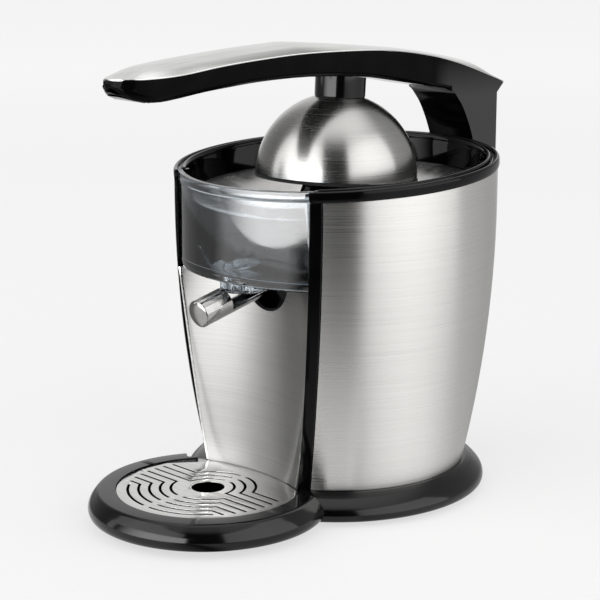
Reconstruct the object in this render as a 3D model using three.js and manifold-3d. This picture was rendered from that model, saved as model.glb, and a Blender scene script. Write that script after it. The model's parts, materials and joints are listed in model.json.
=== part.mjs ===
// Lever citrus press: round steel body, clear juice window, pressing dome on a hinged arm, drip tray.
// Millimetres. +Z is up, -Y is the front. The origin is under the middle of the whole object, on its foot
// plane.
import * as THREE from 'three';
import { mergeVertices } from 'three/addons/utils/BufferGeometryUtils.js';
import Module from 'manifold-3d';

const wasm = await Module();
wasm.setup();

// Driving dimensions of the body
const bodyTopRadius = 109.2;
const footHeight = 20.5;
const bellyHeight = 200;
const bellyArcRadius = 830;
const sheet = 1.2;
const shellTopHeight = 219.6;
const rimBand = 7;
const rimHeight = shellTopHeight + rimBand;
const rimSlopeShare = 0.06;
const fit = 0.3;
const overrun = 6;

// Driving dimensions of the front niche and its pillars
const nicheFootRadius = 127;
const nicheFootInset = 35.7;
const nicheFootDepth = bodyTopRadius - nicheFootInset;
const nicheTopRadius = 90;
const nicheTopInset = 46.2;
const nicheTopDepth = bodyTopRadius - nicheTopInset;
const windowDrop = 64;
const shelfLow = shellTopHeight - windowDrop;
const nicheTopDrop = 4.1;
const nicheTopHeight = shelfLow - nicheTopDrop;
const pillarFootInner = 44;
const pillarWidth = 6;
const pillarFootOuter = pillarFootInner + pillarWidth;
const openingSpread = 43.3;
const openingBowShare = 0.538;
const openingSteps = 10;
const pillarDepth = 13;
const pillarProud = 0.7;

// Driving dimensions of the base and the drip tray
const skirtFlare = 14.4;
const groundGap = 2.5;
const trayAhead = 10;
const trayCentre = bodyTopRadius + trayAhead;
const trayRadius = 79;
const trayTopHeight = 21.8;
const plateRadius = 60.1;
const plateSink = 0.7;
const plateHeight = trayTopHeight - plateSink;
const plateThickness = 0.9;
const plateHoleRadius = 10.9;
const slotWidth = 1.9;
const slotPitch = 7.05;
const slotMargin = 5.8;
const slotMiddleGap = 5.2;

// Driving dimensions of the arm, dome and hinge
const armHalfWidth = 20.5;
const armReach = 322.5;
const hingeSetback = 18.8;
const hingeBack = bodyTopRadius + hingeSetback;
const hingeDrop = 8.6;
const hingeHeight = shellTopHeight - hingeDrop;
const pinRadius = 4;
const knuckleRadius = 11.5;
const knuckleHalfWidth = 11;
const domeRadius = 55;
const domeDrop = 3.6;
const domeLipHeight = shellTopHeight - domeDrop;
const domeLeanDegrees = 3.5;
const armOverDome = 30;
const armHeight = domeLipHeight + domeRadius + armOverDome - hingeHeight;
const hubRadius = 17.3;

// Driving dimensions of the drive train
const gearModule = 1.1;
const pinionTeeth = 12;
const idlerBigTeeth = 40;
const idlerSmallTeeth = 14;
const spindleTeeth = 40;
const gearWidth = 8;
const gearGap = 1;
const motorDistance = 36;
const motorRadius = 31;
const spindleRadius = 4;

const finish = {
  steel: { color: 0xc4c2be, roughness: 0.34, metalness: 1 },
  mirror: { color: 0xdadada, roughness: 0.1, metalness: 1 },
  gloss: { color: 0x0b0b0c, roughness: 0.12, metalness: 0 },
  satin: { color: 0x1b1b1d, roughness: 0.45, metalness: 0 },
  smoke: { color: 0x8d969c, roughness: 0.05, metalness: 0, transparent: true, opacity: 0.4 },
  rubber: { color: 0x161616, roughness: 0.85, metalness: 0 },
  nylon: { color: 0xe6e2d6, roughness: 0.5, metalness: 0 },
  zinc: { color: 0x9a9da1, roughness: 0.45, metalness: 1 },
  brass: { color: 0xb8923f, roughness: 0.35, metalness: 1 },
  copper: { color: 0x8c4a2a, roughness: 0.5, metalness: 1 },
};

// Closed geometry and solids
function closed(geometry) {
  const g = geometry.clone();
  g.deleteAttribute('normal');
  g.deleteAttribute('uv');
  const m = mergeVertices(g);
  const p = m.getAttribute('position');
  const index = m.getIndex().array;
  const keep = [];
  let volume = 0;
  const a = new THREE.Vector3();
  const b = new THREE.Vector3();
  const c = new THREE.Vector3();
  for (let i = 0; i < index.length; i += 3) {
    const [u, v, w] = [index[i], index[i + 1], index[i + 2]];
    if (u === v || v === w || u === w) continue;
    keep.push(u, v, w);
    a.fromBufferAttribute(p, u);
    b.fromBufferAttribute(p, v);
    c.fromBufferAttribute(p, w);
    volume += a.dot(b.cross(c));
  }
  if (volume < 0) keep.reverse();
  m.setIndex(keep);
  return m;
}

function solid(geometry) {
  const m = closed(geometry);
  return new wasm.Manifold(new wasm.Mesh({
    numProp: 3,
    vertProperties: new Float32Array(m.getAttribute('position').array),
    triVerts: new Uint32Array(m.getIndex().array),
  }));
}

function shape3(manifold) {
  const mesh = manifold.getMesh();
  const g = new THREE.BufferGeometry();
  g.setAttribute('position', new THREE.BufferAttribute(new Float32Array(mesh.vertProperties), 3));
  g.setIndex(new THREE.BufferAttribute(new Uint32Array(mesh.triVerts), 1));
  return g;
}

const join = (first, ...rest) => rest.reduce((sum, item) => sum.add(item), first);
const cut = (first, ...rest) => rest.reduce((sum, item) => sum.subtract(item), first);
const both = (first, second) => first.intersect(second);

// A turned form about the vertical axis at (x, y), from a list of [radius, height]
function turned(profile, segments = 64, x = 0, y = 0) {
  const g = new THREE.LatheGeometry(profile.map(([r, z]) => new THREE.Vector2(r, z)), segments);
  g.rotateX(Math.PI / 2);
  g.translate(x, y, 0);
  return solid(g);
}

// A ring of rectangular section about the vertical axis
const ring = (outer, inner, low, high, segments = 48, x = 0, y = 0) =>
  turned([[inner, low], [outer, low], [outer, high], [inner, high], [inner, low]], segments, x, y);

// A vertical round bar
const post = (radius, low, high, segments = 32, x = 0, y = 0) =>
  turned([[0, low], [radius, low], [radius, high], [0, high]], segments, x, y);

// A round bar across the part, along X
function crossBar(radius, fromX, toX, y, z, segments = 24) {
  const g = new THREE.CylinderGeometry(radius, radius, toX - fromX, segments);
  g.rotateZ(Math.PI / 2);
  g.translate((fromX + toX) / 2, y, z);
  return solid(g);
}

function block(width, depth, height, x, y, z) {
  const g = new THREE.BoxGeometry(width, depth, height);
  g.translate(x, y, z + height / 2);
  return solid(g);
}

// A plan outline raised from one height to another
function raised(outline, low, high, steps = 12) {
  const g = new THREE.ExtrudeGeometry(outline, { depth: high - low, bevelEnabled: false,
      curveSegments: steps });
  g.translate(0, 0, low);
  return solid(g);
}

// A side outline in (y, z), drawn across the part from one x to another
function sideways(outline, fromX, toX, steps = 12) {
  const g = new THREE.ExtrudeGeometry(outline, { depth: toX - fromX, bevelEnabled: false,
      curveSegments: steps });
  const turn = new THREE.Matrix4().makeBasis(
    new THREE.Vector3(0, 1, 0), new THREE.Vector3(0, 0, 1), new THREE.Vector3(1, 0, 0));
  g.applyMatrix4(turn);
  g.translate(fromX, 0, 0);
  return solid(g);
}

// Points given as shares of a width and a height, from a starting place
const spread = (shares, width, height, x = 0, z = 0) => shares.map(([a, b]) => [x + a * width,
    z + b * height]);

function outlineOf(points) {
  return new THREE.Shape(points.map(([x, y]) => new THREE.Vector2(x, y)));
}

// Everything above (side = 1) or below (side = -1) the sloping plane at a height on the axis
function slopeBlock(height, side) {
  const reach = bodyTopRadius * 2;
  const tall = reach * 2;
  const low = height - rimSlopeShare * reach;
  const high = height + rimSlopeShare * reach;
  return sideways(outlineOf([[-reach, low], [reach, high], [reach, high + side * tall],
      [-reach, low + side * tall]]),
    -reach, reach);
}

// Outer radius of the steel wall at a height
function bodyRadius(z) {
  const down = Math.max(0, bellyHeight - z);
  return bodyTopRadius - bellyArcRadius + Math.sqrt(bellyArcRadius ** 2 - down ** 2);
}

// A wall that follows the body, between two offsets from the steel's outer face
function bodyWall(outerOffset, innerOffset, low, high, segments = 72, steps = 7) {
  const heights = Array.from({ length: steps + 1 },
    (_, i) => low + (Math.min(high, bellyHeight) - low) * i / steps);
  if (high > bellyHeight) heights.push(high);
  const outer = heights.map((z) => [bodyRadius(z) + outerOffset, z]);
  const inner = heights.map((z) => [bodyRadius(z) + innerOffset, z]).reverse();
  return turned([...outer, ...inner, outer[0]], segments);
}

// The front opening between two leaning, slightly bowed sides, from its half width at foot height
function frontWedge(footHalf, low, high, nearY, farY) {
  const rise = (z) => Math.min((z - footHeight) / (shellTopHeight - footHeight), 1 / (2 * openingBowShare));
  const half = (z) => footHalf + openingSpread * rise(z) * (1 - openingBowShare * rise(z));
  const heights = Array.from({ length: openingSteps + 1 }, (_, i) => low + (high - low) * i / openingSteps);
  const right = heights.map((z) => [half(z), z]);
  const left = heights.map((z) => [-half(z), z]).reverse();
  const g = new THREE.ExtrudeGeometry(outlineOf([...right, ...left]),
    { depth: nearY - farY, bevelEnabled: false });
  g.rotateX(Math.PI / 2);
  g.translate(0, farY + (nearY - farY), 0);
  return solid(g);
}

// The concave niche: an upright tapering drum that leans back as it rises
function nicheDrum(offset, low, high, segments = 120) {
  const lean = (nicheFootDepth - nicheTopDepth) / (nicheTopHeight - footHeight);
  const taper = (nicheFootRadius - nicheTopRadius) / (nicheTopHeight - footHeight);
  const radiusAt = (z) => nicheFootRadius - taper * (z - footHeight) + offset;
  const centreAt = (z) => -nicheFootDepth + lean * (z - footHeight) - radiusAt(z) + offset;
  const g = new THREE.CylinderGeometry(radiusAt(high), radiusAt(low), high - low, segments);
  g.rotateX(Math.PI / 2);
  g.translate(0, 0, (low + high) / 2);
  const slope = (centreAt(high) - centreAt(low)) / (high - low);
  const p = g.getAttribute('position');
  for (let i = 0; i < p.count; i += 1) p.setY(i, p.getY(i) + centreAt(low) + slope * (p.getZ(i) - low));
  return solid(g);
}

const root = new THREE.Group();

function place(name, manifold, look, parent = root) {
  const mesh = new THREE.Mesh(shape3(manifold), new THREE.MeshStandardMaterial(finish[look]));
  mesh.name = name;
  parent.add(mesh);
  return mesh;
}

// A form about the axis whose heights rise to the rear with the slope of the rim
function sloped(profile, segments = 64) {
  const g = new THREE.LatheGeometry(profile.map(([r, z]) => new THREE.Vector2(r, z)), segments);
  g.rotateX(Math.PI / 2);
  const p = g.getAttribute('position');
  for (let i = 0; i < p.count; i += 1) p.setZ(i, p.getZ(i) + rimSlopeShare * p.getY(i));
  return solid(g);
}

// Base skirt, with the niche taken out of its front and a foot for the spine behind
const bodyFootRadius = bodyRadius(footHeight);
const baseRadius = bodyFootRadius + skirtFlare;
const skirtTop = footHeight - fit;
const skirtWall = 3;
const skirtSide = 7;
const skirtBend = baseRadius - skirtSide;
const skirtLedge = 5.5;
const skirtLedgeInner = bodyFootRadius - skirtLedge;
const skirtLedgeThickness = 3.7;
const skirtKneeShare = 0.31;
const spineHalfWidth = 20;
const spineFootDepth = 7;
const spineFootBack = baseRadius + spineFootDepth;
const panThickness = 2.5;
const panTop = groundGap + panThickness;
const bossRadius = 6;
const bossInset = 10;
const bossCircle = skirtBend - bossInset;
const bossAngles = [40, 140, 205, 335];
const screwRadius = 2;
const headRadius = 3.8;
const headHeight = 2;
const skirtOuterShares = [[0.74, 0], [0.945, 0.085], [1, 0.24], [0.93, 0.46], [0.71, 0.68], [0.42, 0.88],
    [0.14, 1]];

function nichePlan(offset, low, high, segments = 64) {
  return post(nicheFootRadius - offset, low, high, segments, 0, -nicheFootDepth - nicheFootRadius);
}

function onCircle(radius, degrees) {
  const a = THREE.MathUtils.degToRad(degrees);
  return [radius * Math.cos(a), radius * Math.sin(a)];
}

function makeBase() {
  const tall = skirtTop - groundGap;
  const outer = spread(skirtOuterShares, skirtFlare, tall, bodyFootRadius, groundGap);
  const profile = [...outer, [skirtLedgeInner, skirtTop], [skirtLedgeInner, skirtTop - skirtLedgeThickness],
    [skirtBend, groundGap + skirtKneeShare * tall], [skirtBend, groundGap], outer[0]];
  let skirt = turned(profile, 40);
  const front = both(
    cut(nichePlan(-skirtWall, groundGap, skirtTop), nichePlan(0, 0, skirtTop + overrun)),
    post(skirtBend + skirtWall, groundGap, skirtTop, 48));
  skirt = cut(skirt, nichePlan(0, 0, skirtTop + overrun));
  const heelDepth = spineFootBack - skirtLedgeInner;
  const heel = both(cut(
    block(2 * spineHalfWidth, heelDepth, skirtTop - panTop, 0, skirtLedgeInner + heelDepth / 2, panTop),
    post(skirtBend, 0, skirtTop - skirtLedgeThickness, 48)), post(spineFootBack, 0, footHeight, 48));
  skirt = join(skirt, front, heel);
  for (const degrees of bossAngles) {
    const [x, y] = onCircle(bossCircle, degrees);
    const boss = both(post(bossRadius, panTop + fit, skirtTop - fit, 12, x, y),
      post(skirtBend + fit, 0, footHeight, 48));
    skirt = cut(join(skirt, boss), post(screwRadius + fit, 0, skirtTop - skirtLedgeThickness, 8, x, y));
  }
  place('base_skirt', skirt, 'gloss');
}
makeBase();

// Pan under the base, its screws and the rubber feet
const footPadRadius = 9;
const footStudRadius = 3;
const footEdge = 1;
const footInset = 25;
const footCircle = skirtBend - footInset;
const footAngles = [50, 130, 222, 318];
const screwTip = skirtTop - skirtLedgeThickness - fit;

function makePan() {
  const seam = 2 * fit;
  let pan = cut(post(skirtBend - seam, groundGap, panTop, 40),
      nichePlan(-skirtWall - seam, 0, panTop + overrun));
  const headLow = groundGap - headHeight / 2;
  const headHigh = groundGap + headHeight / 2;
  for (const degrees of bossAngles) {
    const [x, y] = onCircle(bossCircle, degrees);
    pan = cut(pan, post(screwRadius + fit, 0, panTop + overrun, 8, x, y));
    pan = cut(pan, post(headRadius + fit, 0, headHigh, 12, x, y));
  }
  for (const degrees of footAngles) {
    const [x, y] = onCircle(footCircle, degrees);
    pan = cut(pan, post(footStudRadius + fit, 0, panTop + overrun, 8, x, y));
  }
  place('base_pan', pan, 'satin');
  bossAngles.forEach((degrees, i) => {
    const [x, y] = onCircle(bossCircle, degrees);
    place(`pan_screw_${i + 1}`, turned([[0, headLow], [headRadius, headLow], [headRadius, headHigh - fit],
      [screwRadius, headHigh - fit], [screwRadius, screwTip], [0, screwTip]], 8, x, y), 'zinc');
  });
  footAngles.forEach((degrees, i) => {
    const [x, y] = onCircle(footCircle, degrees);
    place(`base_foot_${i + 1}`, turned([[0, 0], [footPadRadius - footEdge, 0], [footPadRadius, footEdge],
      [footPadRadius, groundGap - fit], [footStudRadius, groundGap - fit], [footStudRadius, panTop - fit],
      [0, panTop - fit]], 16, x, y), 'rubber');
  });
}
makePan();

// Sizes of the rim and the bowl in it, which the shell and pillars carry
const rimProud = 1.2;
const rimLip = 0.5;
const rimWidth = 10.6;
const rimOuter = bodyTopRadius + rimProud;
const rimSeat = shellTopHeight + fit;
const bowlInner = rimOuter - rimWidth;
const bowlDepth = 20.8;
const bowlWall = 2.6;
const ledgeDepth = 4.2;
const ledgeThickness = 2.8;
const ledgeHeight = rimHeight - bowlDepth;
const bowlFoot = ledgeHeight - ledgeThickness;
const dishSheet = 0.9;

// Steel shell and its two pillars
const openingTop = rimHeight + bodyTopRadius * rimSlopeShare + overrun;
const wedgeFar = -pillarFootInner / 2;
const wedgeNear = -bodyTopRadius - pillarFootInner;

function makeShell() {
  const wall = both(bodyWall(0, -sheet, footHeight, openingTop, 52, 3), slopeBlock(shellTopHeight, -1));
  const opening = frontWedge(pillarFootOuter + fit, 0, openingTop, wedgeNear, wedgeFar);
  place('body_shell', cut(wall, opening), 'steel');

  const outer = frontWedge(pillarFootOuter, 0, openingTop, wedgeNear, wedgeFar);
  const inner = frontWedge(pillarFootInner, 0, openingTop, wedgeNear, wedgeFar);
  const bars = both(both(bodyWall(pillarProud, -pillarDepth, footHeight, openingTop, 52, 3),
      cut(outer, inner)),
    slopeBlock(shellTopHeight, -1));
  const reach = bodyTopRadius * 2;
  const rightSide = block(reach, 2 * reach, openingTop, reach / 2, 0, 0);
  const trimmed = cut(bars, both(post(bowlInner + bowlWall + fit, 0, openingTop, 56),
      slopeBlock(bowlFoot - fit, 1)));
  place('pillar_right', both(trimmed, rightSide), 'gloss');
  place('pillar_left', cut(trimmed, rightSide), 'gloss');
}
makeShell();

// Concave front panel, the shelf over it and the black spout socket
const shelfThickness = 2.9;
const shelfTop = shelfLow + shelfThickness;
const shelfInset = 7;
const shelfBack = nicheTopDepth - shelfInset;
const nozzleInset = 20;
const nozzleRadius = 12.8;
const nozzleWall = 2;
const nozzleDrop = 9.5;
const nozzleHole = 4;
const windowInset = 1.7;
const windowRadius = bodyTopRadius - windowInset;
const nozzleCentre = windowRadius - nozzleInset;
const socketRadius = 16;
const socketDrop = 8.1;
const socketCentreHeight = shelfLow - socketDrop;
const socketWall = 1.6;
const socketDepth = 12;
const socketProud = 1;
const socketFront = -nicheTopDepth - socketProud;
const socketBack = socketFront + socketDepth;

function innerWedge(gap, low, high, far = wedgeFar) {
  return frontWedge(pillarFootInner - gap, low, high, wedgeNear, far);
}

// A round bar along Y
function deepBar(radius, fromY, toY, x, z, segments = 28) {
  const g = new THREE.CylinderGeometry(radius, radius, toY - fromY, segments);
  g.translate(x, (fromY + toY) / 2, z);
  return solid(g);
}

function makeFront() {
  const panelTop = shelfLow - fit;
  const panel = both(both(cut(nicheDrum(sheet, footHeight, panelTop),
      nicheDrum(0, footHeight - overrun, panelTop + overrun)),
    innerWedge(fit, 0, openingTop)), post(bodyTopRadius, 0, openingTop, 64));
  place('front_panel', cut(panel,
    deepBar(socketRadius + fit, socketFront - overrun, 0, 0, socketCentreHeight)),
      'steel');

  const shelf = both(both(post(bodyRadius(shelfLow) - fit, shelfLow, shelfTop, 64),
      innerWedge(fit, 0, openingTop)),
    block(3 * bodyTopRadius, bodyTopRadius, openingTop, 0, -shelfBack - bodyTopRadius / 2, 0));
  const notch = nozzleRadius + 2 * fit;
  place('sill_shelf', cut(shelf, post(notch, 0, openingTop, 32, 0, -nozzleCentre),
    block(2 * notch, nozzleCentre, openingTop, 0, -nozzleCentre * 1.5, 0)), 'gloss');

  const cup = cut(deepBar(socketRadius, socketFront, socketBack, 0, socketCentreHeight),
    deepBar(socketRadius - socketWall, socketFront - overrun, socketBack - socketWall, 0,
      socketCentreHeight));
  const below = block(3 * socketRadius, 3 * socketDepth, shelfLow - fit, 0, socketFront, 0);
  place('spout_socket', both(cup, below), 'gloss');
}
makeFront();

// Black rim and bowl wall in one moulding, on the shell's sloping edge
const rimShares = [[1, 0.257], [1, 0.743], [0.906, 1], [0.736, 0.97], [0.67, 0.66], [0.481, 0.66], [0.425, 1],
  [0.311, 1.1], [0.198, 1], [0.113, 0.63]];

function makeRim() {
  const shoulder = bodyTopRadius - sheet - rimProud;
  const profile = [[rimOuter - rimLip, rimSeat], ...spread(rimShares, rimWidth, rimBand, bowlInner,
      shellTopHeight),
    [bowlInner, ledgeHeight], [bowlInner - ledgeDepth, ledgeHeight], [bowlInner - ledgeDepth, bowlFoot],
    [bowlInner + bowlWall, bowlFoot], [shoulder, rimSeat], [rimOuter - rimLip, rimSeat]];
  const pillarTops = both(frontWedge(pillarFootOuter + fit, 0, openingTop, wedgeNear,
      wedgeFar),
    slopeBlock(rimSeat, -1));
  const notch = cut(pillarTops, post(bowlInner + bowlWall, 0, openingTop, 56));
  place('rim_bowl', cut(sloped(profile, 40), innerWedge(0, 0, openingTop), notch), 'gloss');
}
makeRim();

// Clear juice collector: bowl, front window and nozzle in one moulding
const windowWall = 2.2;
const windowFoot = shelfTop + fit;
const collectorFloor = 2;
const collectorInset = 5.8;
const collectorRadius = bowlInner - collectorInset;
const collectorTop = bowlFoot - bodyTopRadius * rimSlopeShare / 2;
const boreRoom = 1.5;
const tubeWall = 2;
const tubeTall = 19;
const bossOuter = 9.5;
const tubeInner = bossOuter + boreRoom;
const tubeRadius = tubeInner + tubeWall;
const tubeTop = windowFoot + tubeTall;

function makeCollector() {
  const low = windowFoot;
  const floorTop = low + collectorFloor;
  const inner = collectorRadius - tubeWall;
  const bowl = turned([[tubeInner, low], [collectorRadius, low], [collectorRadius, collectorTop],
      [inner, collectorTop],
    [inner, floorTop], [tubeRadius, floorTop], [tubeRadius, tubeTop], [tubeInner, tubeTop],
        [tubeInner, low]], 32);
  const front = turned([[tubeRadius, low], [windowRadius, low], [windowRadius, openingTop],
    [windowRadius - windowWall, openingTop], [windowRadius - windowWall, floorTop], [tubeRadius, floorTop],
    [tubeRadius, low]], 52);
  const room = innerWedge(2 * fit, 0, openingTop, -tubeRadius);
  const lining = innerWedge(2 * fit + windowWall, 0, openingTop, 0);
  const dishSpace = both(post(bowlInner, 0, openingTop, 48), slopeBlock(ledgeHeight - dishSheet, 1));
  const cheek = both(cut(ring(windowRadius, inner, low, openingTop, 52), lining, dishSpace), room);
  const mouth = innerWedge(2 * fit + windowWall, floorTop, openingTop, -tubeRadius);
  const foot = low - nozzleDrop;
  const nozzle = post(nozzleRadius, foot, floorTop, 32, 0, -nozzleCentre);
  const bore = join(post(nozzleRadius - nozzleWall, foot + nozzleWall, floorTop + overrun, 32, 0,
      -nozzleCentre),
    post(nozzleHole, 0, floorTop, 16, 0, -nozzleCentre));
  const body = cut(join(cut(bowl, mouth), both(front, room), cheek, nozzle), bore);
  place('collector', both(body, slopeBlock(rimHeight - fit, -1)), 'smoke');
}
makeCollector();

// Steel strainer dish on the ledge of the bowl
const dishRoom = 0.9;
const dishRadius = bowlInner - dishRoom;
const dishDepth = 25.6;
const dishSlots = 6;
const dishSlotWidth = 3;
const dishShares = [[1, 0], [0.955, 0], [0.627, -0.41], [0.445, -0.703], [0.415, -0.953], [0.212, -1]];
const dishSlotShares = [0.25, 0.38];

function makeStrainer() {
  const upper = spread(dishShares, dishRadius, dishDepth, 0, ledgeHeight + fit + dishSheet);
  const lower = upper.map(([r, z]) => [r, z - dishSheet]).reverse();
  let dish = sloped([...lower, ...upper, lower[0]], 32);
  const [near, far] = dishSlotShares.map((share) => share * dishRadius);
  for (let i = 0; i < dishSlots; i += 1) {
    const slot = new THREE.BoxGeometry(far - near, dishSlotWidth, dishDepth);
    slot.translate((far + near) / 2, 0, ledgeHeight - dishDepth);
    slot.rotateZ(2 * Math.PI * i / dishSlots);
    dish = cut(dish, solid(slot));
  }
  place('strainer', dish, 'mirror');
}
makeStrainer();

// Drip stop spout: an open gutter under the nozzle that ends in a short round barrel
const spoutRadius = 8.7;
const spoutWall = 1.4;
const spoutSlopeDegrees = 12;
const spoutLength = 66;
const spoutBarrel = 23;
const spoutTail = 3;
const spoutLip = 5;
const spoutLipDegrees = 24;
const gutterDepth = 3.1;
const spoutPinRadius = 1.6;
const spoutPinWall = 1.2;
const spoutPinLift = 1.6;
const spoutPivotBack = nicheTopDepth - socketProud;
const spoutPivotHeight = socketCentreHeight + spoutPinLift;

function makeSpout() {
  const axisLift = spoutRadius - spoutPinRadius - spoutPinWall;
  const outer = deepBar(spoutRadius, -spoutLength, spoutTail, 0, axisLift, 28);
  const inner = deepBar(spoutRadius - spoutWall, -spoutLength - overrun, spoutTail + overrun, 0, axisLift,
      28);
  const gutterTop = axisLift - spoutRadius + gutterDepth;
  const above = block(2 * spoutRadius + overrun, spoutLength, 2 * spoutRadius, 0,
    -(spoutLength - spoutBarrel) + spoutLength / 2, gutterTop);
  const lip = new THREE.BoxGeometry(3 * spoutRadius, 2 * spoutRadius, 4 * spoutRadius);
  lip.translate(0, -spoutRadius, 0);
  lip.rotateX(THREE.MathUtils.degToRad(spoutLipDegrees));
  lip.translate(0, -spoutLength + spoutLip, axisLift);
  const eye = crossBar(spoutPinRadius + spoutPinWall, -spoutRadius / 2, spoutRadius / 2, 0, 0, 16);
  const eyeHole = crossBar(spoutPinRadius + fit, -spoutRadius, spoutRadius, 0, 0, 12);
  const spout = cut(join(cut(outer, inner, above), eye), solid(lip), eyeHole)
    .rotate([spoutSlopeDegrees, 0, 0]).translate([0, -spoutPivotBack, spoutPivotHeight]);
  place('spout', spout, 'mirror');
  const pinReach = Math.sqrt((socketRadius - socketWall) ** 2 - spoutPinLift ** 2) - 2 * fit;
  place('spout_pin', crossBar(spoutPinRadius, -pinReach, pinReach, -spoutPivotBack, spoutPivotHeight, 12),
      'zinc');
}
makeSpout();

// Drip tray, its feet and its slotted plate
const trayGap = 0.6;
const trayFloor = 4;
const trayBottom = 5;
const trayBowlInset = 1.9;
const trayRearWall = 3;
const trayFootRadius = 6;
const trayFootEdge = 1;
const trayFootShares = [[0.65, 0.12], [-0.65, 0.12], [0, -0.72]];
const trayShares = [[0.91, 0.14], [0.945, 0.125], [0.98, 0.18], [1, 0.33], [0.996, 0.52], [0.97, 0.73],
    [0.93, 0.94],
  [0.901, 1]];

function basePlan(offset, low, high) {
  return cut(post(baseRadius + offset, low, high, 56), nichePlan(offset, low - overrun, high + overrun));
}

// A slot of even width along a run of points
function ribbon(points, width) {
  const left = [];
  const right = [];
  points.forEach(([x, y], i) => {
    const [ax, ay] = points[Math.max(0, i - 1)];
    const [bx, by] = points[Math.min(points.length - 1, i + 1)];
    const before = new THREE.Vector2(x - ax, y - ay).normalize();
    const after = new THREE.Vector2(bx - x, by - y).normalize();
    const along = before.clone().add(after).normalize();
    const stretch = width / 2 / Math.abs(along.dot(i === 0 ? after : before));
    left.push([x - along.y * stretch, y + along.x * stretch]);
    right.unshift([x + along.y * stretch, y - along.x * stretch]);
  });
  return outlineOf([...left, ...right]);
}

// Half of the slots: straight runs that turn into arcs round the hole. Rows and arcs count in slot pitches
const slotShares = [[2, 4.47, 1], [1, 3.47, 1], [0, 2.47, 1], [-1, 3.47, -1], [-2, 4.47, -1], [-3, 5.47, -1],
  [-4, 6.47, -1], [-4.6, 7.47, -1]];

function slotRuns(side) {
  const reach = plateRadius - slotMargin;
  return slotShares.map(([row, arc, up], index) => {
    const r = arc * slotPitch;
    const y = row * slotPitch;
    const start = Math.asin(y / r);
    const end = up * Math.acos(slotMiddleGap / 2 / r);
    const steps = 4;
    const run = Array.from({ length: steps + 1 }, (_, i) => {
      const a = start + (end - start) * i / steps;
      return [side * r * Math.cos(a), r * Math.sin(a)];
    });
    if (index < slotShares.length - 1) run.unshift([side * Math.sqrt(reach ** 2 - y ** 2), y]);
    return run;
  });
}

function makeTray() {
  const seat = plateHeight - plateThickness - fit;
  const land = plateRadius + 2 * fit;
  const high = trayTopHeight + overrun;
  const profile = [[0, trayBottom], ...spread(trayShares, trayRadius, trayTopHeight - groundGap, 0,
      groundGap),
    [land, trayTopHeight], [land, seat], [0, seat]];
  const hollow = cut(post(plateRadius - trayBowlInset, trayBottom + trayFloor, high, 40, 0, -trayCentre),
    basePlan(trayGap + trayRearWall, 0, high));
  place('drip_tray', cut(turned(profile, 48, 0, -trayCentre), hollow, basePlan(trayGap, 0, high)), 'gloss');

  trayFootShares.forEach(([a, b], i) => {
    place(`tray_foot_${i + 1}`, turned([[0, 0], [trayFootRadius - trayFootEdge, 0],
        [trayFootRadius, trayFootEdge],
      [trayFootRadius, trayBottom - fit], [0, trayBottom - fit]], 12, a * trayRadius,
          b * trayRadius - trayCentre),
    'rubber');
  });

  const slots = [1, -1].flatMap((side) => slotRuns(side)).map((points) =>
    raised(ribbon(points, slotWidth), 0, high).translate([0, -trayCentre, 0]));
  const plate = cut(post(plateRadius, plateHeight - plateThickness, plateHeight, 48, 0, -trayCentre),
    basePlan(trayGap + fit, 0, high), post(plateHoleRadius, 0, high, 24, 0, -trayCentre), ...slots);
  place('drip_plate', plate, 'steel');
}
makeTray();

// Spine behind the shell: a hollow column that carries the hinge
const spineWall = 3.5;
const spineOverlap = 14;
const spineHollowLow = 9;
const spineHollowTop = 41;
const slotFloor = hingeHeight - knuckleRadius - 2 * fit;
const earRadius = 12;
const earGap = 0.3;
const spineShares = [[0, 0], [0.29, 0.24], [0.54, 0.48], [0.72, 0.76], [0.83, 0.92], [0.83, 1]];
const spineDeep = 32;
const glandHeight = 34;
const glandRadius = 5;
const glandFlange = 7.5;
const glandFlangeThickness = 2;
const glandTail = 5;
const switchWidth = 14;
const switchDepth = 12;
const switchTall = 15;
const switchDrop = 5.5;
const switchBack = hingeBack;
const plungerRadius = 1.6;
const plungerTravel = 1.2;
const pinEnd = 0.5;

function wallBehind(offset) {
  const steps = 4;
  const heights = Array.from({ length: steps + 1 },
    (_, i) => footHeight + (bellyHeight - footHeight) * i / steps);
  const outer = [[bodyRadius(footHeight) + offset, 0], ...heights.map((z) => [bodyRadius(z) + offset, z]),
    [bodyTopRadius + offset, hingeHeight + 2 * earRadius]];
  return turned([[0, 0], ...outer, [0, hingeHeight + 2 * earRadius]], 64);
}

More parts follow.
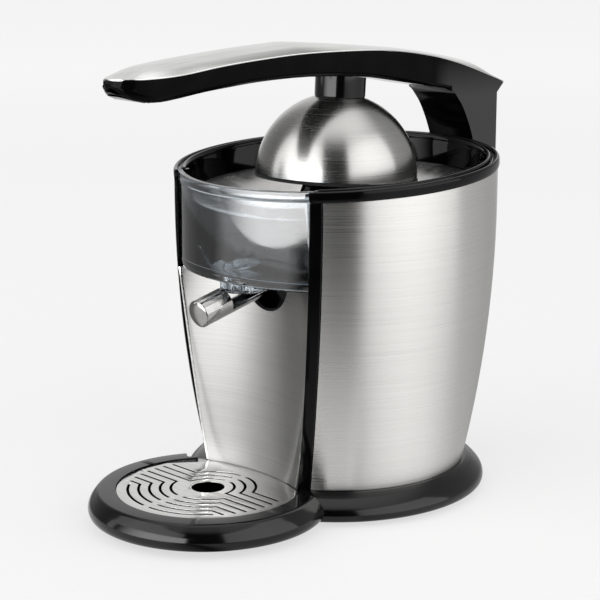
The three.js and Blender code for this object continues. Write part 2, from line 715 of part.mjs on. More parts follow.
function makeSpine() {
  const rise = hingeHeight - footHeight;
  const back = spread(spineShares, spineDeep, rise, spineFootBack, footHeight);
  const earTurn = [200, 230, 260, 290, 320, 350, 20].map((degrees) => onCircle(earRadius, -degrees + 180));
  const ears = [20, 50, 80, 100, 130, 160].map((degrees) => onCircle(earRadius, degrees))
    .map(([y, z]) => [hingeBack + y, hingeHeight + z]);
  const front = bodyTopRadius - spineOverlap;
  const outline = [[front, footHeight], ...back.slice(0, -1),
      [hingeBack + earRadius, hingeHeight - earRadius / 2], ...ears,
    [hingeBack - earRadius, hingeHeight], [hingeBack - earRadius, hingeHeight - earRadius / 2],
    [front, hingeHeight - 2 * earRadius]];
  let spine = sideways(outlineOf(outline), -spineHalfWidth, spineHalfWidth);
  spine = cut(spine, wallBehind(fit));
  const slot = block(2 * (knuckleHalfWidth + earGap), 4 * earRadius, 3 * earRadius, 0, hingeBack, slotFloor);
  const pinHole = crossBar(pinRadius + fit, -spineHalfWidth - overrun, spineHalfWidth + overrun, hingeBack,
      hingeHeight, 20);
  const inside = spread(spineShares, spineDeep, rise, spineFootBack - spineWall, footHeight);
  const hollow = both(sideways(outlineOf([[front - overrun, footHeight], ...inside,
      [front - overrun, hingeHeight]]),
    spineWall - spineHalfWidth, spineHalfWidth - spineWall),
  block(3 * spineHalfWidth, 3 * bodyTopRadius, rise - spineHollowTop, 0, bodyTopRadius,
      footHeight + spineHollowLow));
  const pocketWidth = switchWidth + 2 * fit;
  const pocketBack = switchBack + switchDepth / 2 + fit;
  const pocketTop = slotFloor - switchDrop + fit;
  const pocket = block(pocketWidth, pocketBack, switchTall + 2 * fit, 0, pocketBack / 2,
      pocketTop - switchTall - 2 * fit);
  const plungerHole = post(plungerRadius + fit, pocketTop - overrun, slotFloor + overrun, 12, 0, switchBack);
  const wallBack = spineFootBack + spineDeep * spineShares[1][0] * (glandHeight - footHeight)
    / (spineShares[1][1] * rise);
  const tilt = Math.atan2(spineDeep * spineShares[1][0], spineShares[1][1] * rise);
  const atWall = (geometry) => solid(geometry.rotateX(-tilt).translate(0, wallBack, glandHeight));
  const glandHole = atWall(new THREE.CylinderGeometry(glandRadius + fit, glandRadius + fit, 6 * overrun, 16));
  place('rear_spine', cut(spine, slot, pinHole, hollow, pocket, plungerHole, glandHole), 'gloss');

  const top = pocketTop - fit;
  const body = cut(block(switchWidth, switchDepth, switchTall, 0, switchBack, top - switchTall),
    post(plungerRadius + fit, top - switchTall / 2, top + overrun, 12, 0, switchBack));
  place('switch_body', body, 'satin');
  place('switch_plunger', post(plungerRadius, top - switchTall / 2 + plungerTravel + fit,
    hingeHeight - knuckleRadius - fit, 12, 0, switchBack), 'nylon');

  const gland = new THREE.LatheGeometry([[glandRadius / 2, -spineWall - glandTail],
      [glandRadius, -spineWall - glandTail],
    [glandRadius, fit], [glandFlange, fit], [glandFlange, fit + glandFlangeThickness],
    [glandRadius, fit + glandFlangeThickness + glandTail],
        [glandRadius / 2, fit + glandFlangeThickness + glandTail],
    [glandRadius / 2, -spineWall - glandTail]].map(([r, y]) => new THREE.Vector2(r, y)), 16);
  place('cord_gland', atWall(gland), 'rubber');
}
makeSpine();

// Arm: lever and horn in one moving piece, drawn as a side outline from the hinge
const arm = new THREE.Group();
root.add(arm);
const armTopShares = [[-0.997, 0.911], [-0.874, 0.928], [-0.775, 0.962], [-0.669, 0.986], [-0.531, 1],
    [-0.334, 0.978],
  [-0.196, 0.917], [-0.08, 0.824], [0.043, 0.681], [0.074, 0.639]];
const armUnderShares = [[0.052, 0.567], [0.052, 0.089], [-0.0245, 0.089], [-0.0245, 0.167], [-0.031, 0.244],
  [-0.0445, 0.356], [-0.0644, 0.483], [-0.0813, 0.556], [-0.095, 0.606], [-0.117, 0.639], [-0.163, 0.667],
  [-0.242, 0.717], [-0.331, 0.772], [-0.393, 0.8], [-0.531, 0.833], [-0.66, 0.833], [-0.748, 0.816],
      [-0.81, 0.8],
  [-0.871, 0.776], [-0.917, 0.76], [-0.951, 0.767], [-0.982, 0.806], [-1, 0.878]];
const capCrownShares = [[-0.997, 0.911], [-0.94, 0.982], [-0.905, 1.003], [-0.825, 1.032], [-0.687, 1.067],
  [-0.592, 1.083], [-0.521, 1.08], [-0.264, 0.984], [-0.123, 0.91], [0, 0.816], [0.043, 0.73],
      [0.074, 0.665]];
const tipLength = 38;
const padThickness = 2.2;
const padHalfWidth = 13;
const padShares = [-0.955, -0.865];
const padCeilingShare = 0.86;
const capTipShare = 0.2;
const capStartShare = 0.03;
const capCrownPowerShare = 2.4;
const capEdge = 0.7;
const knuckleTrim = 3;
const screwHoleRadius = 3;
const screwCap = 1.8;
const armScrewHeadRadius = 5.5;
const screwHeadTall = 3;

const armPlace = (shares) => spread(shares, armReach, armHeight, hingeBack, hingeHeight);

// Height of a run of points at a place along the arm
function heightAt(points, y) {
  for (let i = 1; i < points.length; i += 1) {
    const [y0, z0] = points[i - 1];
    const [y1, z1] = points[i];
    if (y <= y1) return z0 + (z1 - z0) * (y - y0) / (y1 - y0);
  }
  return points[points.length - 1][1];
}

// Plan of the arm: straight sides with a rounded front end
function armPlan(half, extra) {
  const tip = hingeBack - armReach;
  const points = [];
  const steps = 8;
  for (let i = 0; i <= steps; i += 1) {
    const a = Math.PI * i / steps;
    points.push([half * Math.cos(a), tip + tipLength - (tipLength + extra) * Math.sin(a)]);
  }
  points.push([-half, hingeBack + spineDeep + extra], [half, hingeBack + spineDeep + extra]);
  return outlineOf(points);
}

function makeArm() {
  const topLine = armPlace(armTopShares);
  const underLine = armPlace(armUnderShares);
  const whole = sideways(outlineOf([...topLine, ...underLine]), -armHalfWidth, armHalfWidth);
  const above = hingeHeight + 2 * armHeight;
  const planned = both(whole, raised(armPlan(armHalfWidth, 0), 0, above));
  const earRoom = earRadius + 2 * fit;
  const side = armHalfWidth + overrun;
  const earCuts = [-1, 1].map((way) => crossBar(earRoom, way > 0 ? knuckleHalfWidth : -side,
    way > 0 ? side : -knuckleHalfWidth, hingeBack, hingeHeight, 32));
  const neck = block(2 * knuckleHalfWidth - knuckleTrim * 2, 2 * knuckleRadius - 2 * fit,
      knuckleRadius + overrun / 2,
    -knuckleTrim, hingeBack, hingeHeight);
  const knuckle = crossBar(knuckleRadius, -knuckleHalfWidth, knuckleHalfWidth - 2 * knuckleTrim, hingeBack,
      hingeHeight, 32);
  const springRoom = crossBar(knuckleRadius, knuckleHalfWidth - 2 * knuckleTrim, knuckleHalfWidth + fit,
    hingeBack, hingeHeight, 32);
  const pinHole = crossBar(pinRadius + bushWall + 2 * fit, -side, side, hingeBack, hingeHeight, 20);
  const [padFar, padNear] = padShares.map((share) => hingeBack + share * armReach);
  const padSpace = (extra) => cut(block(2 * (padHalfWidth + extra), padNear - padFar + 2 * extra,
    hingeHeight + armHeight * padCeilingShare, 0, (padNear + padFar) / 2, 0),
  planned.translate([0, 0, padThickness + extra]));
  const screwWay = post(screwHoleRadius + fit, 0, above, 16);
  const counterbore = post(armScrewHeadRadius + fit, heightAt(topLine, 0) - screwHeadTall - fit, above, 20);
  const body = cut(join(cut(planned, ...earCuts, springRoom), knuckle, neck), pinHole, padSpace(fit),
      tilted(screwWay), counterbore);
  place('arm', body, 'gloss', arm);
  place('grip_pad', both(planned, padSpace(0)), 'rubber', arm);

  // Crowned steel strip along the top, from a box whose rows follow the arm
  const box = new THREE.BoxGeometry(1, 1, 1, 6, 20, 1);
  const p = box.getAttribute('position');
  const front = topLine[0][0];
  const rear = topLine[topLine.length - 1][0];
  const crown = armPlace(capCrownShares);
  for (let i = 0; i < p.count; i += 1) {
    const across = 2 * p.getX(i);
    const share = p.getY(i) + 1 / 2;
    const y = share < capTipShare
      ? front + tipLength * (1 - Math.cos(Math.PI / 2 * (share + capStartShare)
        / (capTipShare + capStartShare)))
      : front + tipLength + (rear - front - tipLength) * (share - capTipShare) / (1 - capTipShare);
    const back = Math.max(0, (front + tipLength - y) / tipLength);
    const half = armHalfWidth * Math.sqrt(1 - back ** 2);
    const low = heightAt(topLine, y) + fit - capEdge * Math.sin(Math.PI * share);
    const edge = heightAt(topLine, y) + fit + capEdge;
    const high = edge + Math.max(0, heightAt(crown, y) - edge) * (1 - Math.abs(across) ** capCrownPowerShare);
    p.setXYZ(i, across * half, y, p.getZ(i) > 0 ? high : low);
  }
  place('arm_cap', cut(solid(box), whole.translate([0, 0, fit])), 'mirror', arm);
}

// A form leaning back with the dome about its centre
function tilted(manifold) {
  const lean = -domeLeanDegrees;
  return manifold.translate([0, 0, -domeLipHeight]).rotate([lean, 0, 0]).translate([0, 0, domeLipHeight]);
}

// Hinge pin, its bushes and the return spring
const bushWall = 1.5;
const springCoilRadius = 7.6;
const springWireRadius = 0.7;
const springPitch = 1.9;
const springTurns = 2;

function makeHinge() {
  const reach = spineHalfWidth - pinEnd;
  place('hinge_pin', crossBar(pinRadius, -reach, reach, hingeBack, hingeHeight, 20), 'zinc');
  const bush = cut(crossBar(pinRadius + bushWall + fit, -knuckleHalfWidth,
      knuckleHalfWidth - 2 * knuckleTrim - fit,
    hingeBack, hingeHeight, 20),
  crossBar(pinRadius + fit, -knuckleHalfWidth - overrun, knuckleHalfWidth, hingeBack, hingeHeight, 20));
  place('hinge_bush', bush, 'nylon', arm);
  const sides = 6;
  const steps = 8 * springTurns;
  const start = knuckleHalfWidth - 2 * knuckleTrim + springWireRadius + fit;
  const points = Array.from({ length: steps + 1 }, (_, i) => {
    const a = 2 * Math.PI * i / 8;
    return new THREE.Vector3(start + springPitch * i / 8, hingeBack + springCoilRadius * Math.cos(a),
      hingeHeight + springCoilRadius * Math.sin(a));
  });
  const section = outlineOf(Array.from({ length: sides },
      (_, i) => onCircle(springWireRadius, 360 * i / sides)));
  const coil = new THREE.ExtrudeGeometry(section, { extrudePath: new THREE.CatmullRomCurve3(points), steps,
    bevelEnabled: false });
  place('hinge_spring', solid(coil), 'steel');
}
makeArm();
makeHinge();

// Pressing dome under the arm: hub, shell, seal, inner liner and the screw that holds them
const domeSheet = 1.2;
const linerGap = 0.9;
const linerThickness = 2.2;
const linerShort = 3;
const sealDepth = 2.4;
const sealLip = 0.5;
const hubTall = 72;

function cap(outer, inner, low, segments) {
  const arc = (radius, from) => {
    const start = Math.asin(from / radius);
    const end = Math.acos((screwHoleRadius + fit) / radius);
    const steps = 4;
    return Array.from({ length: steps + 1 }, (_, i) => {
      const a = start + (end - start) * i / steps;
      return [radius * Math.cos(a), domeLipHeight + radius * Math.sin(a)];
    });
  };
  const outside = arc(outer, low);
  return turned([...outside, ...arc(inner, low).reverse(), outside[0]], segments);
}

function makeDome() {
  place('dome', tilted(cap(domeRadius, domeRadius - domeSheet, 0, 32)), 'steel', arm);
  const linerOuter = domeRadius - domeSheet - linerGap;
  place('dome_liner', tilted(cap(linerOuter, linerOuter - linerThickness, linerShort, 32)), 'satin', arm);
  const low = domeLipHeight - sealDepth;
  const inner = domeRadius - domeSheet - sealLip;
  place('dome_seal', tilted(turned([[inner, low], [domeRadius + sealLip, low],
      [domeRadius + sealLip, domeLipHeight - fit],
    [inner, domeLipHeight - fit], [inner, low]], 32)), 'rubber', arm);
  const under = sideways(outlineOf([...armPlace(armTopShares), ...armPlace(armUnderShares)]),
    -armHalfWidth, armHalfWidth).translate([0, 0, -fit]);
  const ball = new THREE.SphereGeometry(domeRadius + fit, 24, 20);
  ball.rotateX(Math.PI / 2);
  ball.translate(0, 0, domeLipHeight);
  const hub = cut(tilted(post(hubRadius, domeLipHeight, domeLipHeight + hubTall, 28)), solid(ball), under,
    tilted(post(screwHoleRadius + fit, 0, domeLipHeight + 2 * hubTall, 16)));
  place('hub', hub, 'gloss', arm);
  const headLow = heightAt(armPlace(armTopShares), 0) - domeLipHeight - screwHeadTall;
  const nutTop = Math.sqrt((linerOuter - linerThickness) ** 2 - armScrewHeadRadius ** 2) - 3 * fit;
  const screw = turned([[0, domeLipHeight + nutTop - screwHeadTall],
      [armScrewHeadRadius, domeLipHeight + nutTop - screwHeadTall],
    [armScrewHeadRadius, domeLipHeight + nutTop], [screwHoleRadius, domeLipHeight + nutTop],
    [screwHoleRadius, domeLipHeight + headLow + screwCap], [0, domeLipHeight + headLow + screwCap]], 16);
  place('dome_screw', tilted(screw), 'zinc', arm);
}
makeDome();

// Reaming cone on the upright spindle
const gearPlateThickness = 3.5;
const gearboxTall = 33;
const coverTop = windowFoot - fit;
const gearPlateTop = coverTop - gearboxTall;
const gearPlateRadius = 61.5;
const framePostRadius = 4.5;
const framePostInset = 6.5;
const framePostAngles = [35, 145, 222, 318];
const gearLow = gearPlateTop + fit + gearGap;
const gearHigh = gearLow + gearWidth + gearGap;
const coverRadius = 46.5;
const coverWall = 2.5;
const coverRoof = 3;
const coverLeft = 6;
const coverBack = 12;
const bushRadius = 7.4;
const bushHeight = 11.4;
const runGap = 0.3;
const sealHeight = 2.2;
const bossTop = tubeTop - boreRoom - sealHeight - fit;
const reamerRadius = 36;
const reamerPlate = 2;
const reamerSkirtWall = 2;
const reamerSkirtOverlap = 4;
const reamerTall = 62;
const reamerRibs = 8;
const reamerRibShare = 0.09;
const reamerRibReachShare = 0.9;
const reamerRoom = 3.4;
const spindleGrip = 30;
const spindleStep = 2.5;
const coneShares = [[1, 0.033], [0.76, 0.04], [0.69, 0.16], [0.55, 0.4], [0.37, 0.68], [0.18, 0.92]];
const reamerLow = ledgeHeight + fit + dishSheet - dishDepth
    + dishRadius * dishSlotShares[1] * rimSlopeShare + reamerRoom;
const spindleTop = reamerLow + spindleGrip;

// A spur gear about (x, y): trapezoid teeth with the first tooth at an angle
function spurGear(teeth, low, high, x, y, angle, bore) {
  const pitch = teeth * gearModule / 2;
  const points = [];
  const tooth = 2 * Math.PI / teeth;
  const flankShares = [[-0.31, -1.2], [-0.1, 0.85], [0.1, 0.85], [0.31, -1.2]];
  for (let i = 0; i < teeth; i += 1) {
    for (const [turn, rise] of flankShares) {
      const a = angle + tooth * (i + turn);
      const r = pitch + rise * gearModule;
      points.push([r * Math.cos(a), r * Math.sin(a)]);
    }
  }
  const blank = raised(outlineOf(points), low, high).translate([x, y, 0]);
  return cut(blank, post(bore, low - overrun, high + overrun, 20, x, y));
}

const nearDistance = (idlerSmallTeeth + spindleTeeth) * gearModule / 2;
const farDistance = (idlerBigTeeth + pinionTeeth) * gearModule / 2;
const idlerY = (nearDistance ** 2 - farDistance ** 2 + motorDistance ** 2) / (2 * motorDistance);
const idlerX = -Math.sqrt(nearDistance ** 2 - idlerY ** 2);
const idlerAngle = Math.atan2(idlerY, idlerX);
const motorAngle = Math.atan2(motorDistance - idlerY, -idlerX);
const idlerBore = 3;
const hubOuter = 5.2;
const shaftRadius = 2.5;
const rotorRadius = 20;
const rotorShareLow = 0.15;
const rotorShareHigh = 0.86;
const motorWall = 2;
const motorEnd = 2.5;
const motorTop = gearPlateTop - gearPlateThickness - fit;
const motorCapTall = 9;
const motorRoom = 31.7;
const motorFloor = panTop + motorRoom + motorCapTall;
const motorLength = motorTop - motorFloor;

function makeDrive() {
  const plateLow = gearPlateTop - gearPlateThickness;
  const postCircle = gearPlateRadius - framePostInset;
  let frame = post(gearPlateRadius, plateLow, gearPlateTop, 48);
  for (const degrees of framePostAngles) {
    const [x, y] = onCircle(postCircle, degrees);
    frame = join(frame, post(framePostRadius, panTop + fit, gearPlateTop, 12, x, y));
  }
  const high = coverTop;
  frame = cut(frame, post(spindleRadius + runGap, 0, high, 16),
      post(idlerBore + fit, 0, high, 12, idlerX, idlerY),
    post(shaftRadius + 2 * motorWall, 0, high, 16, 0, motorDistance));
  place('gear_frame', frame, 'zinc');

  const cover = turned([[coverRadius - coverWall, gearPlateTop + fit], [coverRadius, gearPlateTop + fit],
    [coverRadius, coverTop], [0, coverTop], [0, coverTop - coverRoof],
        [coverRadius - coverWall, coverTop - coverRoof],
    [coverRadius - coverWall, gearPlateTop + fit]], 40, -coverLeft, coverBack);
  const neck = post(bossOuter, coverTop - coverRoof, bossTop, 24);
  const bushSeat = post(bushRadius + fit, bossTop - bushHeight - fit, bossTop + overrun, 20);
  const socketRoom = deepBar(socketRadius + fit, socketFront, socketBack + fit, 0, socketCentreHeight);
  place('gear_cover', cut(join(cover, neck), bushSeat, socketRoom,
    post(spindleRadius + 2 * runGap, gearLow, openingTop, 16)), 'satin');
  place('spindle_bush', ring(bushRadius, spindleRadius + runGap, bossTop - bushHeight, bossTop, 20), 'brass');
  place('shaft_seal', ring(bossOuter, spindleRadius + runGap, bossTop + fit, bossTop + fit + sealHeight,
      20), 'rubber');

  // Motor under the plate
  const holeRadius = shaftRadius + fit;
  const can = turned([[holeRadius, motorTop - motorEnd], [motorRadius - motorWall, motorTop - motorEnd],
    [motorRadius - motorWall, motorFloor], [motorRadius, motorFloor], [motorRadius, motorTop],
        [holeRadius, motorTop],
    [holeRadius, motorTop - motorEnd]], 36, 0, motorDistance);
  place('motor_can', can, 'zinc');
  const capLow = motorFloor - motorCapTall;
  place('motor_cap', turned([[holeRadius, capLow], [motorRadius, capLow], [motorRadius, motorFloor - fit],
    [holeRadius, motorFloor - fit], [holeRadius, capLow]], 36, 0, motorDistance), 'satin');
  const rotorLow = motorFloor + motorLength * rotorShareLow;
  const rotorHigh = motorFloor + motorLength * rotorShareHigh;
  place('motor_rotor', turned([[0, capLow + fit], [shaftRadius, capLow + fit], [shaftRadius, rotorLow],
    [rotorRadius, rotorLow], [rotorRadius, rotorHigh], [shaftRadius, rotorHigh],
        [shaftRadius, gearLow + gearWidth + gearGap],
    [0, gearLow + gearWidth + gearGap]], 20, 0, motorDistance), 'copper');
  place('motor_pinion', spurGear(pinionTeeth, gearLow, gearLow + gearWidth, 0, motorDistance,
    motorAngle + Math.PI + Math.PI / pinionTeeth, shaftRadius + fit), 'brass');

  // Double idler on its fixed axle
  place('idler_axle', post(idlerBore, plateLow, coverTop - coverRoof - fit, 12, idlerX, idlerY), 'zinc');
  const big = spurGear(idlerBigTeeth, gearLow, gearLow + gearWidth, idlerX, idlerY, motorAngle,
      idlerBore + runGap);
  const small = spurGear(idlerSmallTeeth, gearLow + gearWidth - gearGap, gearHigh + gearWidth, idlerX, idlerY,
    idlerAngle + Math.PI + Math.PI / idlerSmallTeeth, idlerBore + runGap);
  place('idler_gear', join(big, small), 'nylon');

  // Spindle, its gear and the reamer that turns with it
  const wheel = spurGear(spindleTeeth, gearHigh, gearHigh + gearWidth, 0, 0, idlerAngle, spindleRadius + fit);
  place('spindle_gear', join(wheel, ring(hubOuter, spindleRadius + fit, gearPlateTop + fit,
      gearHigh + gearGap, 20)), 'nylon');
  place('spindle', turned([[0, plateLow], [spindleRadius, plateLow],
      [spindleRadius, spindleTop - spindleStep],
    [spindleRadius - spindleStep / 2, spindleTop], [0, spindleTop]], 20), 'mirror');

  const skirtIn = tubeRadius + boreRoom;
  const skirtOut = skirtIn + reamerSkirtWall;
  const skirtLow = tubeTop - reamerSkirtOverlap;
  const cone = new THREE.LatheGeometry([[0, reamerLow + reamerPlate / 2],
    ...spread(coneShares, reamerRadius, reamerTall, 0, reamerLow), [0, reamerLow + reamerTall]]
    .map(([r, z]) => new THREE.Vector2(r, z)), 4 * reamerRibs);
  cone.rotateX(Math.PI / 2);
  const p = cone.getAttribute('position');
  for (let i = 0; i < p.count; i += 1) {
    const r = Math.hypot(p.getX(i), p.getY(i));
    if (r > 0 && r < reamerRadius * reamerRibReachShare) {
      const wave = 1 + reamerRibShare * Math.cos(reamerRibs * Math.atan2(p.getY(i), p.getX(i)));
      p.setXY(i, p.getX(i) * wave, p.getY(i) * wave);
    }
  }
  const plate = turned([[0, reamerLow], [reamerRadius, reamerLow], [reamerRadius, reamerLow + reamerPlate],
    [0, reamerLow + reamerPlate]], 4 * reamerRibs);
  const skirt = ring(skirtOut, skirtIn, skirtLow, reamerLow + reamerPlate / 2, 28);
  const bore = post(spindleRadius + fit, 0, spindleTop + fit, 16);
  place('reamer', cut(join(solid(cone), plate, skirt), bore), 'gloss');
}
makeDrive();

root.position.y = (trayCentre + trayRadius - hingeBack - armTopShares[armTopShares.length - 1][0]
    * armReach) / 2;

export default root;
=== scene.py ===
# %% [markdown]
# # A lever citrus press
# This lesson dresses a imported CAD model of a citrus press. The CAD solids come in as a fixed
# frame. We keep the small and hidden ones and give them materials, and we model finer pieces
# over the large ones that the eye rests on: the steel shell, the black base and tray, the
# window, the dome and the arm.

# %% Load the frame
import json
import math

import bpy
from mathutils import Matrix, Vector


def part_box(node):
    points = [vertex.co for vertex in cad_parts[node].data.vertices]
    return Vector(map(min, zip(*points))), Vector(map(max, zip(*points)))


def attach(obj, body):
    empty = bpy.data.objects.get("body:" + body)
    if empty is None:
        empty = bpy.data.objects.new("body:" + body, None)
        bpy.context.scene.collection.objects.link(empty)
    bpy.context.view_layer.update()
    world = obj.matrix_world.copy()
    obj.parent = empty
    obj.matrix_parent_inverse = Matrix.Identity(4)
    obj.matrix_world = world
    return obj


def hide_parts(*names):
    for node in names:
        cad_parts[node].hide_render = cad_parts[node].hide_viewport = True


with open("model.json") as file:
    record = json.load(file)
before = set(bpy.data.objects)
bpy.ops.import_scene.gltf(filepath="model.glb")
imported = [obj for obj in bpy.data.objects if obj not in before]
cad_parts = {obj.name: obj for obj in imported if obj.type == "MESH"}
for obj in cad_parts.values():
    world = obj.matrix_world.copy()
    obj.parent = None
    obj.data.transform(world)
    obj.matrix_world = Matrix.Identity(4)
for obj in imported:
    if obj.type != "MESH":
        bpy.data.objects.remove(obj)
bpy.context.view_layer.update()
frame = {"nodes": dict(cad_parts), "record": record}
bpy.ops.object.select_all(action='DESELECT')

# %% [markdown]
# ## The axis and the side line
# The body is round about one upright axis. It could be modelled in place and in metres, but it
# is easier to work round that axis in millimetres, and to settle each finished piece in the
# frame at the end. The frame's origin is under the middle of the whole object, so the body's
# axis lies a little behind it. Below the belly line the wall draws in on one large circle.

# %% Sizes of the body, in millimetres
BODY_TOP = 109.2    # radius of the steel from the belly line up
BELLY = 200.0       # height of the belly line
BELLY_ARC = 830.0   # radius of the wall's curve, seen from the side
FOOT = 20.5         # lower edge of the steel
SHELL_TOP = 219.6   # upper edge of the steel, measured on the axis
RIM_PROUD = 1.2     # how far the rim stands out past the steel
RIM_SLOPE = 0.06    # rise of the rim towards the rear
GAP = 0.3           # fitting gap between two pieces
AXIS_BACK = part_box("rim_bowl")[1][1] * 1000 - (BODY_TOP + RIM_PROUD)


def body_radius(z):
    down = max(0.0, BELLY - z)
    return BODY_TOP - BELLY_ARC + math.sqrt(BELLY_ARC ** 2 - down ** 2)


print("the body's axis lies", round(AXIS_BACK, 2), "mm behind the origin")
print("radius at the foot", round(body_radius(FOOT), 1), "mm, at the top", BODY_TOP, "mm")

# %% [markdown]
# ## Picking
# A few small helpers do what a hand would do in the viewport. An operator acts on all that is
# selected, and loading selects every CAD node. So all was deselected at once, and `pick` leaves
# just one object selected and active before each step. `apply_place` writes an object's move,
# turn and scale into its mesh.

# %% Helpers: pick, name and apply
def pick(obj):
    bpy.ops.object.select_all(action='DESELECT')
    obj.select_set(True)
    bpy.context.view_layer.objects.active = obj


def added(name):
    obj = bpy.context.object
    obj.name = name
    obj.data.name = name
    return obj


def apply_place():
    bpy.ops.object.transform_apply(location=True, rotation=True, scale=True)


print("selected now:", len(bpy.context.selected_objects), "objects")

# %% [markdown]
# ## Drawing a run of edges
# Most pieces begin as a line. It is drawn by extruding one vertex from point to point. It could
# also be handed over as a list of vertices, but this way is the same as by hand, and the run
# can be spun, filled or bridged right away.

# %% Helpers: edit and draw
SAME_POINT = 0.0001


def start_edit():
    bpy.ops.object.mode_set(mode='EDIT')
    bpy.ops.mesh.select_all(action='SELECT')


def end_edit():
    bpy.ops.mesh.select_all(action='SELECT')
    bpy.ops.mesh.normals_make_consistent(inside=False)
    bpy.ops.object.mode_set(mode='OBJECT')


def run_of_edges(name, points):
    bpy.ops.mesh.primitive_plane_add(size=1)
    obj = added(name)
    start_edit()
    bpy.ops.mesh.merge(type='CENTER')
    bpy.ops.transform.translate(value=points[0])
    for here, there in zip(points, points[1:]):
        step = Vector(there) - Vector(here)
        bpy.ops.mesh.extrude_region_move(TRANSFORM_OT_translate={"value": step})
    bpy.ops.mesh.select_all(action='SELECT')
    bpy.ops.mesh.remove_doubles(threshold=SAME_POINT)
    bpy.ops.object.mode_set(mode='OBJECT')
    return obj


# %% [markdown]
# ## Solids to start from
# A round part is a section spun about the axis, because one list of points then holds every
# measure of its wall. The last step of the spin meets the first, so the doubles there are
# merged, and the faces are turned outwards. Boxes and discs start as primitives and serve as
# cutting tools.

# %% Helpers: spin a section, add a box or a disc
FULL_TURN = 2 * math.pi


def spun(name, profile, steps):
    obj = run_of_edges(name, [(r, 0, z) for r, z in profile])
    start_edit()
    bpy.ops.mesh.spin(steps=steps, angle=FULL_TURN, center=(0, 0, 0), axis=(0, 0, 1))
    bpy.ops.mesh.select_all(action='SELECT')
    bpy.ops.mesh.remove_doubles(threshold=10 * SAME_POINT)
    end_edit()
    return obj


def cube(name, low, high):
    bpy.ops.mesh.primitive_cube_add(size=1)
    obj = added(name)
    obj.scale = [b - a for a, b in zip(low, high)]
    obj.location = [(a + b) / 2 for a, b in zip(low, high)]
    apply_place()
    return obj


def disc(name, radius, low, high, y=0.0, sides=144):
    bpy.ops.mesh.primitive_cylinder_add(vertices=sides, radius=radius, depth=high - low,
                                        location=(0, y, (low + high) / 2))
    obj = added(name)
    apply_place()
    return obj


# %% [markdown]
# ## Cuts and rounded edges
# A Boolean takes one solid from another, joins them, or keeps what they share. Real edges are
# never quite sharp, so `rounded` bevels each edge that turns by more than a given angle. Every
# modifier is applied at once, so a piece is a plain mesh before its next step.

# %% Helpers: modify, cut and round
def modified(obj, kind, **settings):
    pick(obj)
    bpy.ops.object.modifier_add(type=kind)
    tool = obj.modifiers[-1]
    for key, value in settings.items():
        setattr(tool, key, value)
    bpy.ops.object.modifier_apply(modifier=tool.name)
    return obj


def with_tool(obj, tool, operation='DIFFERENCE', keep=False):
    modified(obj, 'BOOLEAN', object=tool, operation=operation, solver='EXACT')
    if not keep:
        bpy.data.objects.remove(tool)
    return obj


def rounded(obj, width, segments=3, degrees=32):
    return modified(obj, 'BEVEL', width=width, segments=segments, limit_method='ANGLE',
                    angle_limit=math.radians(degrees), use_clamp_overlap=True)


# %% [markdown]
# ## Moving and turning
# A piece is moved or turned by its own setting, which is then applied: the mesh takes the
# change, and the object stays unturned at the origin, as the frame wants it. A copy has its own
# mesh, so cutting the one leaves the other whole.

# %% Helpers: move, turn and copy
def shifted(obj, offset):
    pick(obj)
    obj.location = offset
    apply_place()
    return obj


def turned_about(obj, axis, degrees, centre=(0, 0, 0)):
    pick(obj)
    turn = Matrix.Rotation(math.radians(degrees), 4, axis)
    obj.matrix_world = Matrix.Translation(centre) @ turn @ Matrix.Translation(-Vector(centre))
    apply_place()
    return obj


def copied(obj, name):
    pick(obj)
    bpy.ops.object.duplicate()
    return added(name)


# %% [markdown]
# Several objects become one by joining them. Where they are rings or rows of edges, bridging
# lays a skin from each to the next, which is the quickest way to a surface that changes its
# section on the way.

# %% Helpers: join and bridge
def joined(objects):
    bpy.ops.object.select_all(action='DESELECT')
    for obj in objects:
        obj.select_set(True)
    bpy.context.view_layer.objects.active = objects[0]
    apply_place()
    bpy.ops.object.join()
    return objects[0]


def bridged(objects, push=None):
    obj = joined(objects)
    start_edit()
    bpy.ops.mesh.bridge_edge_loops()
    if push:
        bpy.ops.mesh.select_all(action='SELECT')
        bpy.ops.mesh.extrude_region_move(TRANSFORM_OT_translate={"value": push})
    end_edit()
    return obj


# %% [markdown]
# ## Handing a piece over
# `settle` finishes a piece. It smooths the shading across gentle angles, brings the mesh to
# metres and to its place behind the origin, gives it its material, and tells the frame which
# body carries it and which plain CAD nodes it stands for.

# %% Helper that hands a piece to the frame
MM = 0.001


def settle(obj, body, nodes, material, smooth=32, evened=False):
    pick(obj)
    bpy.ops.object.shade_smooth_by_angle(angle=math.radians(smooth))
    if evened:
        modified(obj, 'WEIGHTED_NORMAL', keep_sharp=True, weight=50)
    obj.scale = (MM, MM, MM)
    obj.location = (0, AXIS_BACK * MM, 0)
    apply_place()
    obj.data.materials.clear()
    obj.data.materials.append(material)
    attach(obj, body)
    if nodes:
        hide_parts(*nodes)
    print(obj.name, len(obj.data.polygons), "faces")
    return obj


# %% [markdown]
# ## Materials
# Every finish is a small node graph on Object coordinates, so a pattern stays on its piece
# wherever the piece moves. An image could give the grain too, but it would need a laid-out
# surface and would blur close up. Noise does neither, and it drives colour, roughness and
# height together, as one real scratch does.

# %% Helpers: a material and its noise
def new_material(name):
    mat = bpy.data.materials.new(name)
    mat.use_nodes = True
    tree = mat.node_tree
    return mat, tree, tree.nodes["Principled BSDF"]


def object_noise(tree, stretch, scale, detail=3.0):
    where = tree.nodes.new("ShaderNodeTexCoord")
    mapping = tree.nodes.new("ShaderNodeMapping")
    mapping.inputs["Scale"].default_value = stretch
    noise = tree.nodes.new("ShaderNodeTexNoise")
    noise.inputs["Scale"].default_value = scale
    noise.inputs["Detail"].default_value = detail
    tree.links.new(where.outputs["Object"], mapping.inputs["Vector"])
    tree.links.new(mapping.outputs["Vector"], noise.inputs["Vector"])
    return noise.outputs["Fac"]


